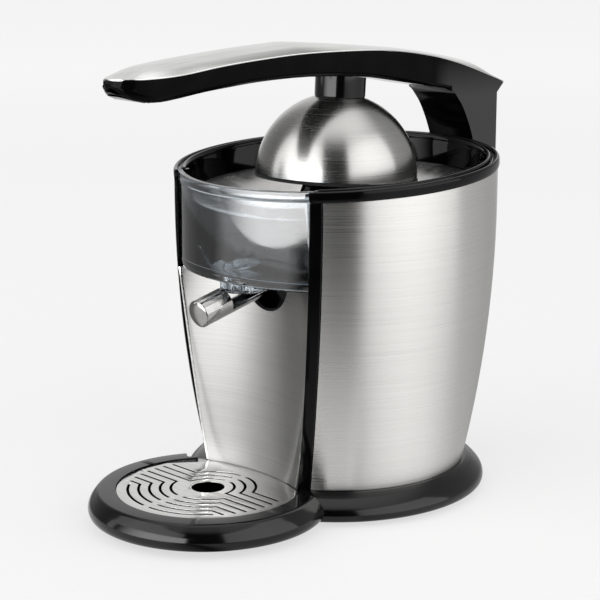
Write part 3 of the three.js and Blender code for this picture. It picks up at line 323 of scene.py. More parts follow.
# %% [markdown]
# The noise hovers about one half, so its middle part is spread over the range that a finish
# needs. `ramped` gives a number between two limits, `tinted` a colour between two shades, and
# `bumped` a slight height.

# %% Helpers: number, colour and height from noise
NOISE_LOW, NOISE_HIGH = 0.3, 0.7


def ramped(tree, source, low, high, from_low=NOISE_LOW, from_high=NOISE_HIGH):
    ramp = tree.nodes.new("ShaderNodeMapRange")
    ramp.inputs["From Min"].default_value = from_low
    ramp.inputs["From Max"].default_value = from_high
    ramp.inputs["To Min"].default_value = low
    ramp.inputs["To Max"].default_value = high
    tree.links.new(source, ramp.inputs["Value"])
    return ramp.outputs["Result"]


def tinted(tree, source, shader, dark, light):
    ramp = tree.nodes.new("ShaderNodeValToRGB")
    ends = zip(ramp.color_ramp.elements, (NOISE_LOW, NOISE_HIGH), (dark, light))
    for stop, position, colour in ends:
        stop.position = position
        stop.color = (*colour, 1)
    tree.links.new(source, ramp.inputs["Fac"])
    tree.links.new(ramp.outputs["Color"], shader.inputs["Base Color"])


def bumped(tree, source, shader, strength, distance):
    bump = tree.nodes.new("ShaderNodeBump")
    bump.inputs["Strength"].default_value = strength
    bump.inputs["Distance"].default_value = distance
    tree.links.new(source, bump.inputs["Height"])
    tree.links.new(bump.outputs["Normal"], shader.inputs["Normal"])


# %% [markdown]
# Metal and plastic are built alike: one noise, three uses. A metal colours its own reflection,
# and brushing spreads the light across the scratches, which the streak sets. Plastic is a dark,
# smooth surface with a trace of dust, and each moulding has its own strength of reflection.

# %% Metal and plastic
DUST_HEIGHT = 0.0001        # metres
SCRATCH_HEIGHT = 0.00003    # metres
QUARTER_TURN = 0.25         # turns the spread of light across the scratches


def metal(name, dark, light, rough, stretch, scale, bump=0.12, height=SCRATCH_HEIGHT,
          streak=0.0):
    mat, tree, shader = new_material(name)
    shader.inputs["Metallic"].default_value = 1.0
    shader.inputs["Anisotropic"].default_value = streak
    shader.inputs["Anisotropic Rotation"].default_value = QUARTER_TURN
    grain = object_noise(tree, stretch, scale)
    tinted(tree, grain, shader, dark, light)
    tree.links.new(ramped(tree, grain, *rough), shader.inputs["Roughness"])
    bumped(tree, grain, shader, bump, height)
    return mat


def plastic(name, dark, light, rough, scale=60.0, bump=0.02, specular=0.5):
    mat, tree, shader = new_material(name)
    shader.inputs["Specular IOR Level"].default_value = specular
    dust = object_noise(tree, (1, 1, 1), scale, detail=6.0)
    tinted(tree, dust, shader, dark, light)
    tree.links.new(ramped(tree, dust, *rough), shader.inputs["Roughness"])
    bumped(tree, dust, shader, bump, DUST_HEIGHT)
    return mat


# %% [markdown]
# ### Steel
# The shell, panel and dome are brushed round their axis, the cap along the arm, and the plate
# from side to side. Stretching the noise does that: its coordinates are scaled hundreds of
# times more across the brushing than along it, which draws spots out into long, thin scratches.
# The spout is chromed and the dish is plain pressed sheet, so their noise is even.

# %% Steel finishes
AROUND = (2.5, 2.5, 900)
AROUND_DOME = (3, 3, 900)
ALONG_ARM = (260, 3, 260)
ACROSS_PLATE = (3, 420, 3)

steel_brushed = metal("steel_brushed", (0.7, 0.69, 0.67), (0.77, 0.76, 0.74), (0.26, 0.34),
                      AROUND, 3.0, 0.1, streak=0.85)
# The panel's steel is darker than the shell's: painted shade of the recess under the window.
steel_panel_painted_shade = metal("steel_panel_painted_shade", (0.31, 0.306, 0.3), (0.37, 0.366, 0.36), (0.36, 0.44),
                    AROUND, 3.0, 0.1, streak=0.5)
steel_dome = metal("steel_dome", (0.47, 0.465, 0.45), (0.52, 0.515, 0.5), (0.23, 0.28),
                   AROUND_DOME, 3.0, 0.05, streak=0.75)
steel_polished = metal("steel_polished", (0.7, 0.7, 0.69), (0.84, 0.84, 0.83), (0.06, 0.14),
                       ALONG_ARM, 2.0, 0.05)
steel_plate = metal("steel_plate", (0.62, 0.62, 0.61), (0.78, 0.78, 0.77), (0.1, 0.2),
                    ACROSS_PLATE, 2.0, 0.06)
steel_dish = metal("steel_dish", (0.6, 0.59, 0.58), (0.72, 0.71, 0.7), (0.16, 0.28),
                   (30, 30, 30), 3.0, 0.08)
chrome_spout = metal("chrome_spout", (0.34, 0.335, 0.325), (0.44, 0.435, 0.425), (0.08, 0.14),
                     (60, 60, 60), 2.0, 0.03)
print("steel finishes", len(bpy.data.materials))

# %% [markdown]
# ### The works
# Inside sit a cast gear frame, brass bushes and the motor's copper. They show only where a
# cover is off, but they cost one line each, and a grey stand-in would spoil a view of them.

# %% Metals of the works
cast_zinc = metal("cast_zinc", (0.36, 0.37, 0.39), (0.5, 0.51, 0.53), (0.4, 0.6),
                  (160, 160, 160), 2.0, 0.3, 0.0002)
turned_brass = metal("turned_brass", (0.5, 0.34, 0.12), (0.66, 0.47, 0.2), (0.25, 0.4),
                     (20, 20, 600), 2.0)
copper_core = metal("copper_core", (0.25, 0.09, 0.04), (0.45, 0.18, 0.08), (0.4, 0.55),
                    (4, 4, 1500), 2.0, 0.4, 0.0002)
print("with the works", len(bpy.data.materials))

# %% [markdown]
# ### Black mouldings
# All the gloss black is one colour, a shade above true black, so that it still shows form in
# shadow. What differs is how strongly each moulding mirrors the room: the base and the hub more
# than the pillars, and the lever least. Satin, rubber and nylon are rougher and duller.

# %% Plastic and rubber finishes
BLACK = (0.0012, 0.0012, 0.0014), (0.0022, 0.0022, 0.0026)

gloss_black = plastic("gloss_black", *BLACK, (0.05, 0.1), specular=0.16)
gloss_rim = plastic("gloss_rim", *BLACK, (0.04, 0.08), specular=0.2)
gloss_lever = plastic("gloss_lever", *BLACK, (0.06, 0.12), specular=0.06)
gloss_base = plastic("gloss_base", *BLACK, (0.09, 0.14), specular=0.42)
satin_black = plastic("satin_black", (0.014, 0.014, 0.015), (0.024, 0.024, 0.026),
                      (0.34, 0.48), 400, 0.1)
soft_rubber = plastic("soft_rubber", (0.01, 0.01, 0.01), (0.02, 0.02, 0.02),
                      (0.7, 0.9), 500, 0.2, specular=0.3)
white_nylon = plastic("white_nylon", (0.62, 0.6, 0.53), (0.74, 0.72, 0.66),
                      (0.4, 0.55), 300, 0.05)
print("with plastics", len(bpy.data.materials))

# %% [markdown]
# The rim's crests, where it faces up, get a painted highlight. A second material could do
# that, but it would end at a hard border. Here the strength of reflection follows the surface's
# own direction, so the painted highlight fades as the rib turns away.

# %% Painted highlight on the crests of the rim
CREST = 0.8, 0.97            # share of the direction that points up, from no shine to full


def paint_crest_highlight(mat, low, high):
    tree = mat.node_tree
    facing = tree.nodes.new("ShaderNodeSeparateXYZ")
    tree.links.new(tree.nodes.new("ShaderNodeTexCoord").outputs["Normal"], facing.inputs[0])
    shine = ramped(tree, facing.outputs["Z"], low, high, *CREST)
    tree.links.new(shine, tree.nodes["Principled BSDF"].inputs["Specular IOR Level"])


paint_crest_highlight(gloss_rim, 0.2, 1.0)
print(gloss_rim.name, len(gloss_rim.node_tree.nodes), "nodes")

# %% [markdown]
# The lever is deep black, but the flat side of the horn behind the bowl gets a painted
# reflection of the light at the right. Three shares are multiplied for it: how far back a
# point lies, how low it lies and how squarely it faces sideways. Where all three are full,
# so is the painted reflection.

# %% Painted reflection on the side of the horn
HORN_BACK = 0.10, 0.115      # metres behind the origin, from no shine to full
HORN_LOW = 0.262, 0.29       # height in metres, from full shine to none
HORN_SIDE = 0.9, 0.97        # share of the direction that points sideways


def paint_horn_reflection(mat, low, high):
    tree = mat.node_tree
    place = tree.nodes.new("ShaderNodeTexCoord")
    where, facing = [tree.nodes.new("ShaderNodeSeparateXYZ") for _ in range(2)]
    tree.links.new(place.outputs["Object"], where.inputs[0])
    tree.links.new(place.outputs["Normal"], facing.inputs[0])
    sideways = tree.nodes.new("ShaderNodeMath")
    sideways.operation = 'ABSOLUTE'
    tree.links.new(facing.outputs["X"], sideways.inputs[0])
    share = ramped(tree, sideways.outputs[0], 0, 1, *HORN_SIDE)
    behind = ramped(tree, where.outputs["Y"], 0, 1, *HORN_BACK)
    below = ramped(tree, where.outputs["Z"], 1, 0, *HORN_LOW)
    for part in (behind, below):
        both = tree.nodes.new("ShaderNodeMath")
        both.operation = 'MULTIPLY'
        tree.links.new(share, both.inputs[0])
        tree.links.new(part, both.inputs[1])
        share = both.outputs[0]
    shine = ramped(tree, share, low, high, 0, 1)
    tree.links.new(shine, tree.nodes["Principled BSDF"].inputs["Specular IOR Level"])


paint_horn_reflection(gloss_lever, 0.06, 1.0)
print(gloss_lever.name, len(gloss_lever.node_tree.nodes), "nodes")

# %% [markdown]
# ### Smoky clear plastic
# The window is clear plastic with a grey-blue smoke in it. A half-transparent surface would
# look like a film, because it does not bend the light. So it is a real refracting solid with a
# faint tint, and its high index gives the strong bright edges of a thick moulding.

# %% Clear plastic
def clear_plastic():
    mat, tree, shader = new_material("smoked_clear")
    shader.inputs["Transmission Weight"].default_value = 1.0
    shader.inputs["IOR"].default_value = 2.0
    haze = object_noise(tree, (1, 1, 1), 40.0, detail=4.0)
    tinted(tree, haze, shader, (0.6, 0.67, 0.73), (0.68, 0.75, 0.81))
    tree.links.new(ramped(tree, haze, 0.02, 0.07), shader.inputs["Roughness"])
    return mat


smoked_clear = clear_plastic()
print("all materials", len(bpy.data.materials))

# %% [markdown]
# ## Prisms to cut with
# Many edges of the press are places where one form is cut by another. A prism is the usual
# tool: draw a closed outline, fill it, and extrude it straight through. The outline may lie in
# plan, from the side or from the front, so there is one helper for each way of looking.

# %% Prisms
def filled(name, points, push):
    obj = run_of_edges(name, points + [points[0]])
    start_edit()
    bpy.ops.mesh.edge_face_add()
    bpy.ops.mesh.extrude_region_move(TRANSFORM_OT_translate={"value": push})
    end_edit()
    return obj


def plan_prism(name, outline, low, high):
    return filled(name, [(x, y, low) for x, y in outline], (0, 0, high - low))


def side_prism(name, outline, left, right):
    return filled(name, [(left, y, z) for y, z in outline], (right - left, 0, 0))


def front_prism(name, outline, near, far):
    return filled(name, [(x, near, z) for x, z in outline], (0, far - near, 0))


# %% [markdown]
# ## The sloping top
# The top of the press rises a little to the rear. Round pieces are spun level, because that is
# simple, and are then either leaned as a whole or cut by a large block with a leaning face.

# %% Blocks above and below the slope
BLOCK_REACH, BLOCK_TALL = 240, 300
LEAN_Z = 223.0
LEAN = math.degrees(math.atan(RIM_SLOPE))


def slope_block(name, height, tall):
    rise = RIM_SLOPE * BLOCK_REACH
    face = [(-BLOCK_REACH, height - rise), (BLOCK_REACH, height + rise)]
    return side_prism(name, face + [(y, z + tall) for y, z in reversed(face)],
                      -BLOCK_REACH, BLOCK_REACH)


def below_slope(name, height):
    return slope_block(name, height, -BLOCK_TALL)


def above_slope(name, height):
    return slope_block(name, height, BLOCK_TALL)


def leaned(obj, height=LEAN_Z):
    return turned_about(obj, 'X', LEAN, (0, 0, height))


print("the top leans", round(LEAN, 2), "degrees")

# %% [markdown]
# Curves that were measured at a few points are eased through them. Each stretch between two
# points is a cubic that takes its direction from the neighbours, so the curve passes through
# every measured point and has no corner at any.

# %% Eased curves
def eased(points, steps):
    out = []
    for i in range(len(points) - 1):
        p0 = Vector(points[max(0, i - 1)])
        p1, p2 = Vector(points[i]), Vector(points[i + 1])
        p3 = Vector(points[min(len(points) - 1, i + 2)])
        for s in range(steps):
            t = s / steps
            out.append(tuple(0.5 * (2 * p1 + (p2 - p0) * t
                                    + (2 * p0 - 5 * p1 + 4 * p2 - p3) * t ** 2
                                    + (3 * p1 - p0 - 3 * p2 + p3) * t ** 3)))
    return out + [tuple(points[-1])]


print("three points, eased:", len(eased([(0, 0), (1, 1), (2, 1)], 4)), "points")

# %% [markdown]
# ## The opening between the pillars
# The front of the body is open between two lines that spread and bow a little as they rise. A
# wedge with that front outline cuts the steel wall, shapes the pillars and bounds the window
# and the panel. Each of them could have its own outline, but one helper with a gap keeps all
# the seams parallel.

# %% The wedge of the opening
PILLAR_INNER, PILLAR_OUTER = 44.0, 50.0   # half the opening at the foot, to each side of a post
SPREAD, BOW = 43.3, 0.538                 # how much wider at the top, and how curved
WEDGE_STEPS = 20


def opening_side(half, z):
    rise = min((z - FOOT) / (SHELL_TOP - FOOT), 1 / (2 * BOW))
    return half + SPREAD * rise * (1 - BOW * rise)


def wedge(name, half, low=0.0, high=245.0, near=-160.0, far=-22.0):
    heights = [low + (high - low) * i / WEDGE_STEPS for i in range(WEDGE_STEPS + 1)]
    right = [(opening_side(half, z), z) for z in heights]
    return front_prism(name, right + [(-x, z) for x, z in reversed(right)], near, far)


for z in (FOOT, SHELL_TOP):
    print("opening at", z, "mm:", round(2 * opening_side(PILLAR_INNER, z), 1), "mm wide")

# %% [markdown]
# ## The steel shell
# The shell is one sheet of brushed steel rolled round the body, a little barrelled, and cut
# level with the sloping rim. It could be a bent plane with a thickness, but a spun section
# keeps the barrel exact. The top is cut with a leaning block and the front with the wedge. Its
# raw edges end behind the rim and the pillars, so they stay sharp.

# %% Steel shell
SHEET = 1.2          # thickness of the steel
RAW_TOP = 238        # height of a wall before its top is cut
WALL_STEPS = 160     # faces round a wall


def wall_section(offset_out, offset_in, steps=14):
    heights = [FOOT + (BELLY - FOOT) * i / steps for i in range(steps + 1)] + [RAW_TOP]
    outer = [(body_radius(z) + offset_out, z) for z in heights]
    inner = [(body_radius(z) + offset_in, z) for z in reversed(heights)]
    return outer + inner + [outer[0]]


shell = spun("steel_shell", wall_section(0, -SHEET), WALL_STEPS)
with_tool(shell, below_slope("cut_top", SHELL_TOP), 'INTERSECT')
with_tool(shell, wedge("cut_front", PILLAR_OUTER + GAP + 0.1))
settle(shell, "root", ["body_shell"], steel_brushed)

# %% [markdown]
# ## The black pillars
# Two glossy posts close the cut edges of the sheet. Each is a slice of a thick wall between two
# wedges, so it follows the barrel of the shell without any fitting. High up they step back, so
# that the bowl's wall passes inside them.

# %% Pillars
POST_PROUD, POST_DEEP = 0.7, 13
BOWL_ROOM_R, BOWL_ROOM_LOW = 103.2, 202.4
HALF_SPACE = 200

bars = spun("bars", wall_section(POST_PROUD, -POST_DEEP), WALL_STEPS)
with_tool(bars, wedge("cut_outer", PILLAR_OUTER), 'INTERSECT')
with_tool(bars, wedge("cut_inner", PILLAR_INNER, near=-170, far=-18))
with_tool(bars, below_slope("cut_top", SHELL_TOP), 'INTERSECT')
core = disc("bowl_core", BOWL_ROOM_R, 190, 260)
with_tool(core, above_slope("core_low", BOWL_ROOM_LOW), 'INTERSECT')
with_tool(bars, core)
rounded(bars, 0.7)
for side, name in ((1, "right"), (-1, "left")):
    bar = copied(bars, "black_pillar_" + name)
    ends = sorted((0, side * HALF_SPACE))
    half = cube("half", (ends[0], -HALF_SPACE, 0), (ends[1], HALF_SPACE, 300))
    with_tool(bar, half, 'INTERSECT')
    settle(bar, "root", ["pillar_" + name], gloss_black)
bpy.data.objects.remove(bars)

# %% [markdown]
# ## The concave front panel
# The panel under the window is hollow towards us: part of a tall drum that leans back and
# narrows as it rises. Two circles at the right places, bridged, give that drum. A thin wall of
# it is kept between the pillars and inside the body.

# %% The leaning drum
NICHE_LOW_R, NICHE_LOW_Y = 127.0, -73.5      # at the foot: radius, and place of its rear point
NICHE_HIGH_R, NICHE_HIGH_Y = 90.0, -63.0     # the same at the top of the panel
NICHE_HIGH_Z = 151.5
NICHE_SIDES = 256


def drum(name, offset, low, high):
    rings = []
    for z in (low, high):
        share = (z - FOOT) / (NICHE_HIGH_Z - FOOT)
        radius = NICHE_LOW_R + (NICHE_HIGH_R - NICHE_LOW_R) * share
        front = NICHE_LOW_Y + (NICHE_HIGH_Y - NICHE_LOW_Y) * share
        bpy.ops.mesh.primitive_circle_add(vertices=NICHE_SIDES, radius=radius + offset,
                                          fill_type='NGON', location=(0, front - radius, z))
        rings.append(added(name))
    return bridged(rings)


print("the niche narrows from", NICHE_LOW_R, "to", NICHE_HIGH_R, "mm radius")

# %% [markdown]
# The wall is one drum less another that is a sheet's thickness smaller and a little taller, so
# that no two faces lie in one plane, which a Boolean handles badly. A copy is kept for the
# bright edges, before the hole for the spout's socket is bored.

# %% Front panel
SILL = 155.6                        # underside of the sill, where the panel ends
SOCKET_R, SOCKET_Z = 19.5, 151.0    # the round socket behind the spout
PAST = 8                            # how far a tool reaches past what it cuts

panel = drum("panel", SHEET, FOOT, SILL - GAP)
with_tool(panel, drum("panel_hollow", 0, FOOT - PAST, SILL + PAST))
with_tool(panel, wedge("cut_sides", PILLAR_INNER - GAP), 'INTERSECT')
with_tool(panel, disc("cut_body", BODY_TOP, 0, 240), 'INTERSECT')
edge = copied(panel, "panel_edge")
socket_bore = disc("socket_bore", SOCKET_R + GAP, 0, 60)
turned_about(socket_bore, 'X', 90)
with_tool(panel, shifted(socket_bore, (0, -40, SOCKET_Z)))
settle(panel, "root", ["front_panel"], steel_panel_painted_shade)

# %% [markdown]
# The panel's two upright edges are turned over and polished, and show as thin bright lines
# along the pillars. They could be strips laid along the seam, but two slices of the same wall,
# brought forward by a hair, follow its hollow for nothing.

# %% Bright edges of the panel
EDGE_WIDE, EDGE_FORWARD = 1.3, 0.3

with_tool(edge, wedge("cut_middle", PILLAR_INNER - GAP - EDGE_WIDE))
with_tool(edge, wedge("cut_sides", PILLAR_INNER - GAP - 0.05), 'INTERSECT')
shifted(edge, (0, -EDGE_FORWARD, 0))
rounded(edge, 0.25, 2)
settle(edge, "root", [], steel_polished)

# %% [markdown]
# ## Sill
# A thin black sill closes the panel's top and carries the window. It is a slice of a disc
# between the pillars with a U-shaped notch, through which the nozzle reaches the spout. The
# notch is a round hole with a box that opens it to the front.

# %% Sill
SILL_R, SILL_TOP = 101.6, 158.5
NOTCH_HALF, NOZZLE_Y = 23, -87.5

sill = disc("sill", SILL_R, SILL, SILL_TOP)
with_tool(sill, wedge("cut_sides", PILLAR_INNER - GAP, far=-56), 'INTERSECT')
with_tool(sill, disc("notch_end", NOTCH_HALF, 150, 165, y=NOZZLE_Y, sides=64))
with_tool(sill, cube("notch", (-NOTCH_HALF, -140, 150), (NOTCH_HALF, NOZZLE_Y, 165)))
rounded(sill, 0.4, 2)
settle(sill, "root", ["sill_shelf"], gloss_black)

# %% [markdown]
# ## Spout socket
# Behind the spout is a round black socket, cut off flat under the sill. It is a shallow cup
# with a softly rounded lip, spun upright and laid on its back, with its mouth to the front.

# %% Spout socket
CUP_WALL, CUP_BACK = 1.6, -52
cup_in = SOCKET_R - CUP_WALL

cup = spun("socket_cup", [
    (0, 0), (SOCKET_R, 0), (SOCKET_R, 11.4), (SOCKET_R - 0.3, 11.9), (SOCKET_R - 0.8, 12),
    (SOCKET_R - 1.4, 11.9), (cup_in, 11.5), (cup_in, CUP_WALL), (0, CUP_WALL)], 96)
turned_about(cup, 'X', 90)
shifted(cup, (0, CUP_BACK, SOCKET_Z))
with_tool(cup, cube("cut_top", (-30, -80, SILL - GAP), (30, -40, 180)))
settle(cup, "root", ["spout_socket"], gloss_black)

# %% [markdown]
# ## Rim and bowl
# One black moulding forms the rim round the top and the bowl wall inside it. The rim has a
# channel between two fine ribs, which gives its double line of light. Two thin rings on a flat
# rim would look stuck on, so the ribs are in the section itself. It is spun level and leaned.

# %% Section of the rim
RIM_IN, RIM_WIDE, RIM_TALL = 99.8, 10.6, 7.0
RIM_SHARES = [(0.997, 0.3), (0.997, 0.7), (0.972, 0.88), (0.906, 1.0), (0.82, 1.02),
              (0.745, 0.96), (0.70, 0.8), (0.66, 0.68), (0.575, 0.64), (0.49, 0.68),
              (0.45, 0.82), (0.41, 1.0), (0.31, 1.1), (0.21, 1.02), (0.13, 0.8), (0.105, 0.5)]
BOWL_SECTION = [(RIM_IN, 220.5), (RIM_IN, 206.8), (99.5, 206), (98.8, 205.8), (95.9, 205.8),
                (95.6, 205.5), (95.6, 203.3), (95.9, 203), (102.0, 203), (102.4, 203.4),
                (106.8, 219.9), (109.9, 219.9)]
rim_line = [(RIM_IN + a * RIM_WIDE, SHELL_TOP + b * RIM_TALL) for a, b in RIM_SHARES]
rim_profile = [(109.9, 219.9)] + eased(rim_line, 3) + BOWL_SECTION
print("rim section", len(rim_profile), "points")

# %% [markdown]
# The rim is open at the front, where the window takes its place. Below the rim's seat, the
# moulding also leaves room for the pillars, so a second tool is made: the outer wedge, kept
# below the slope and without the bowl's own round core.

# %% Rim and bowl
rim = spun("black_rim", rim_profile, 192)
leaned(rim)
with_tool(rim, wedge("cut_front", PILLAR_INNER, high=260))
notch = wedge("notch_wedge", PILLAR_OUTER + GAP, high=260)
with_tool(notch, below_slope("notch_low", SHELL_TOP + GAP), 'INTERSECT')
with_tool(notch, disc("notch_core", 102.4, 100, 300))
with_tool(rim, notch)
rounded(rim, 0.35, 2, 50)
settle(rim, "root", ["rim_bowl"], gloss_rim)

# %% [markdown]
# ## Strainer
# The steel strainer is a dish that steps down from the bowl's ledge to the cone. Its section is
# spun and leaned with the rim. Six slots near the middle let the juice through: one box is
# turned by a sixth of a circle each time.

# %% Strainer
DISH_R, DISH_TALL, DISH_TOP, DISH_WALL = 98.9, 25.6, 207.0, 0.9
DISH_SHARES = [(0.955, 0), (0.80, -0.18), (0.627, -0.41), (0.445, -0.703), (0.415, -0.94),
               (0.39, -0.985), (0.212, -1)]
JUICE_SLOTS, SLOT_FROM, SLOT_TO, SLOT_HALF = 6, 0.25, 0.36, 1.5

dish_line = [(DISH_R, DISH_TOP)] + eased(
    [(DISH_R * a, DISH_TOP + DISH_TALL * b) for a, b in DISH_SHARES], 4)
dish_under = [(r, z - DISH_WALL) for r, z in reversed(dish_line)]
dish = spun("steel_strainer", dish_line + dish_under + [dish_line[0]], 160)
for i in range(JUICE_SLOTS):
    slot = cube("slot", (SLOT_FROM * DISH_R, -SLOT_HALF, 170),
                (SLOT_TO * DISH_R, SLOT_HALF, 190))
    with_tool(dish, turned_about(slot, 'Z', 360 / JUICE_SLOTS * i))
leaned(dish, DISH_TOP)
settle(dish, "root", ["strainer"], steel_dish, 40)

# %% [markdown]
# ## Clear collector
# The juice falls into a clear moulding: a round bowl hidden in the body, a front pouch whose
# outer wall is the window, and a nozzle under it. Clear plastic shows every face twice, so all
# the walls are closed solids that are joined exactly, with no skins inside one another.

# %% The pouch with its window
WIN_R, WIN_WALL, WIN_FOOT, WIN_FLOOR = 107.5, 2.2, 158.8, 160.8
WIN_HALF = PILLAR_INNER - 0.6        # half the pouch's width at the foot
PIPE_OUT = 13                        # radius of the pipe in the middle of the bowl
win_in = WIN_R - WIN_WALL

pouch = spun("pouch", [
    (PIPE_OUT, WIN_FOOT), (102, WIN_FOOT), (102, 157.2), (WIN_R - 3, 156.8),
    (WIN_R - 1.5, 157.4), (WIN_R - 0.7, 159), (WIN_R - 0.6, 161.5), (WIN_R - 0.6, RAW_TOP),
    (win_in, RAW_TOP), (win_in, WIN_FLOOR + 2), (win_in - 0.8, WIN_FLOOR + 0.5),
    (win_in - 3, WIN_FLOOR), (PIPE_OUT, WIN_FLOOR), (PIPE_OUT, WIN_FOOT)], WALL_STEPS)
room = wedge("room", WIN_HALF, far=-PIPE_OUT)
with_tool(pouch, room, 'INTERSECT', keep=True)
with_tool(pouch, below_slope("pouch_top", 220.2), 'INTERSECT')
print("pouch", len(pouch.data.polygons), "faces")

# %% [markdown]
# A thicker band along the window's top stands in line with the black rim and catches a bright
# line. The cheeks are the pouch's side walls. They are what is left of a thick ring between two
# wedges, less the room in which the strainer sits.

# %% Band and cheeks
RIM_TOP = 226.6
BAND_DEEP, CHEEK_R = 3.6, 92
band_in, cheek_out, cheek_foot = WIN_R - BAND_DEEP, WIN_R - 0.8, WIN_FOOT + 1

band = spun("band", [(WIN_R, 200), (WIN_R, RAW_TOP), (band_in, RAW_TOP), (band_in, 200),
                     (WIN_R, 200)], WALL_STEPS)
with_tool(band, room, 'INTERSECT', keep=True)
with_tool(band, below_slope("band_top", RIM_TOP - 0.3), 'INTERSECT')
with_tool(band, above_slope("band_low", SHELL_TOP), 'INTERSECT')
rounded(band, 0.5)

cheeks = spun("cheeks", [(cheek_out, cheek_foot), (cheek_out, RAW_TOP), (CHEEK_R, RAW_TOP),
                         (CHEEK_R, cheek_foot), (cheek_out, cheek_foot)], WALL_STEPS)
with_tool(cheeks, room, 'INTERSECT')
with_tool(cheeks, wedge("lining", WIN_HALF - WIN_WALL, far=0))
with_tool(cheeks, below_slope("cheek_top", RIM_TOP - 0.4), 'INTERSECT')
dish_room = disc("dish_room", RIM_IN, 150, 300)
with_tool(dish_room, above_slope("dish_low", 204.9), 'INTERSECT')
with_tool(cheeks, dish_room)
print("band", len(band.data.polygons), "faces, cheeks", len(cheeks.data.polygons), "faces")

# %% [markdown]
# The bowl is a spun trough with a pipe in the middle, for the shaft of the cone. Its front wall
# is cut through with the wedge of the pouch, so the juice can run forward into it.

# %% Round bowl
PIPE_IN, PIPE_TOP = 11, 177.8
BOWL_OUT_R, BOWL_IN_R, BOWL_TOP = 94, 92, 199.7

bowl = spun("bowl", [
    (PIPE_IN, WIN_FOOT), (BOWL_OUT_R, WIN_FOOT), (BOWL_OUT_R, BOWL_TOP), (BOWL_IN_R, BOWL_TOP),
    (BOWL_IN_R, WIN_FLOOR), (PIPE_OUT, WIN_FLOOR), (PIPE_OUT, PIPE_TOP), (PIPE_IN, PIPE_TOP),
    (PIPE_IN, WIN_FOOT)], 128)
with_tool(bowl, wedge("mouth", WIN_HALF - WIN_WALL, low=WIN_FLOOR, far=-PIPE_OUT))
print("bowl", len(bowl.data.polygons), "faces")

# %% [markdown]
# The nozzle is a short cup under the pouch with a small hole. Fine ribs round it break the
# light into sparkles. A bump would be flat at the outline, so the nozzle is drawn as a ring of
# shallow teeth and pushed up into the floor. Then all walls are joined and the bore is cut.

# %% Nozzle, and the collector in one piece
TEETH, TOOTH_R, VALLEY_R, LIP_R = 84, 14.3, 13.2, 13.6
NOZZLE_LOW, BORE_R, HOLE_R = 149.9, 10.8, 4

teeth = []
for i in range(TEETH):
    angle = 2 * math.pi * i / TEETH
    radius = TOOTH_R if i % 2 else VALLEY_R
    teeth.append((radius * math.cos(angle), NOZZLE_Y + radius * math.sin(angle)))
nozzle = plan_prism("nozzle", teeth, NOZZLE_LOW, WIN_FLOOR)
lip = disc("nozzle_lip", LIP_R, NOZZLE_LOW - 0.6, NOZZLE_LOW + 0.5, y=NOZZLE_Y, sides=72)
with_tool(nozzle, lip, 'UNION')
collector = pouch
for part in (cheeks, band, bowl, nozzle):
    with_tool(collector, part, 'UNION')
bore = disc("bore", BORE_R, 151.3, 175, y=NOZZLE_Y, sides=64)
with_tool(bore, disc("hole", HOLE_R, 140, 152, y=NOZZLE_Y, sides=48), 'UNION')
with_tool(collector, bore)
collector.name = "clear_collector"
settle(collector, "root", ["collector"], smoked_clear, 34)

# %% [markdown]
# ## Spout
# The drip-stop spout is a chromed tube with a closed, rounded end. It is open from above over
# most of its length, as a gutter, and its mouth is a round hole in the underside of the end.
# The end is a quarter of an ellipse, inside and out.

# %% The spout's tube
SPOUT_R, SPOUT_LONG, SPOUT_WALL = 9.2, 66.0, 1.4
SPOUT_TAIL, END_BULGE, END_BULGE_IN = 3, 2.4, 1.2


def round_end(radius, length, bulge, steps=8):
    turns = [math.pi / 2 * i / steps for i in range(steps + 1)]
    return [(radius * math.cos(t), -length + bulge - bulge * math.sin(t)) for t in turns]


bore_r = SPOUT_R - SPOUT_WALL
outside_line = round_end(SPOUT_R, SPOUT_LONG, END_BULGE)
inside_line = round_end(bore_r, SPOUT_LONG - SPOUT_WALL, END_BULGE_IN)
tube = spun("spout_tube", [(SPOUT_R, SPOUT_TAIL)] + outside_line + inside_line[::-1]
            + [(bore_r, SPOUT_TAIL), (SPOUT_R, SPOUT_TAIL)], 96)
print("tube", len(tube.data.polygons), "faces")

# %% [markdown]
# The tube is spun upright, so it is laid down and cut while it is level, which keeps the cuts
# square. A small eye at the back takes the pivot pin. Only then is the whole spout tipped about
# its pivot and put in its place under the nozzle.

# %% Spout
SPOUT_LIFT, SPOUT_TIP = 4.5, 13
GUTTER_END, GUTTER_DEPTH = -42, 4.6
MOUTH_R, MOUTH_Y = 5.4, -57
EYE_R, EYE_HALF, EYE_HOLE_R = 3.6, 4.35, 1.9
PIVOT = (0, -62, 149.1)

turned_about(tube, 'X', -90)
shifted(tube, (0, 0, SPOUT_LIFT))
gutter_low = SPOUT_LIFT - SPOUT_R + GUTTER_DEPTH
with_tool(tube, cube("gutter", (-20, GUTTER_END, gutter_low), (20, 20, 40)))
with_tool(tube, disc("mouth_hole", MOUTH_R, -20, SPOUT_LIFT, y=MOUTH_Y, sides=64))
eye = disc("eye", EYE_R, -EYE_HALF, EYE_HALF, sides=40)
with_tool(tube, turned_about(eye, 'Y', 90), 'UNION')
eye_hole = disc("eye_hole", EYE_HOLE_R, -9, 9, sides=32)
with_tool(tube, turned_about(eye_hole, 'Y', 90))
rounded(tube, 0.35)
turned_about(tube, 'X', SPOUT_TIP)
shifted(tube, PIVOT)
tube.name = "chrome_spout"
settle(tube, "spout", ["spout"], chrome_spout, 34)

# %% [markdown]
# ## Base
# The base is a glossy ring with a swelling side. Its section is eased through a few measured
# points and spun. The niche bites the same round bay out of its front as it does from the panel
# above, so the base is first filled out there with an apron. A heel at the back carries the
# rear spine.

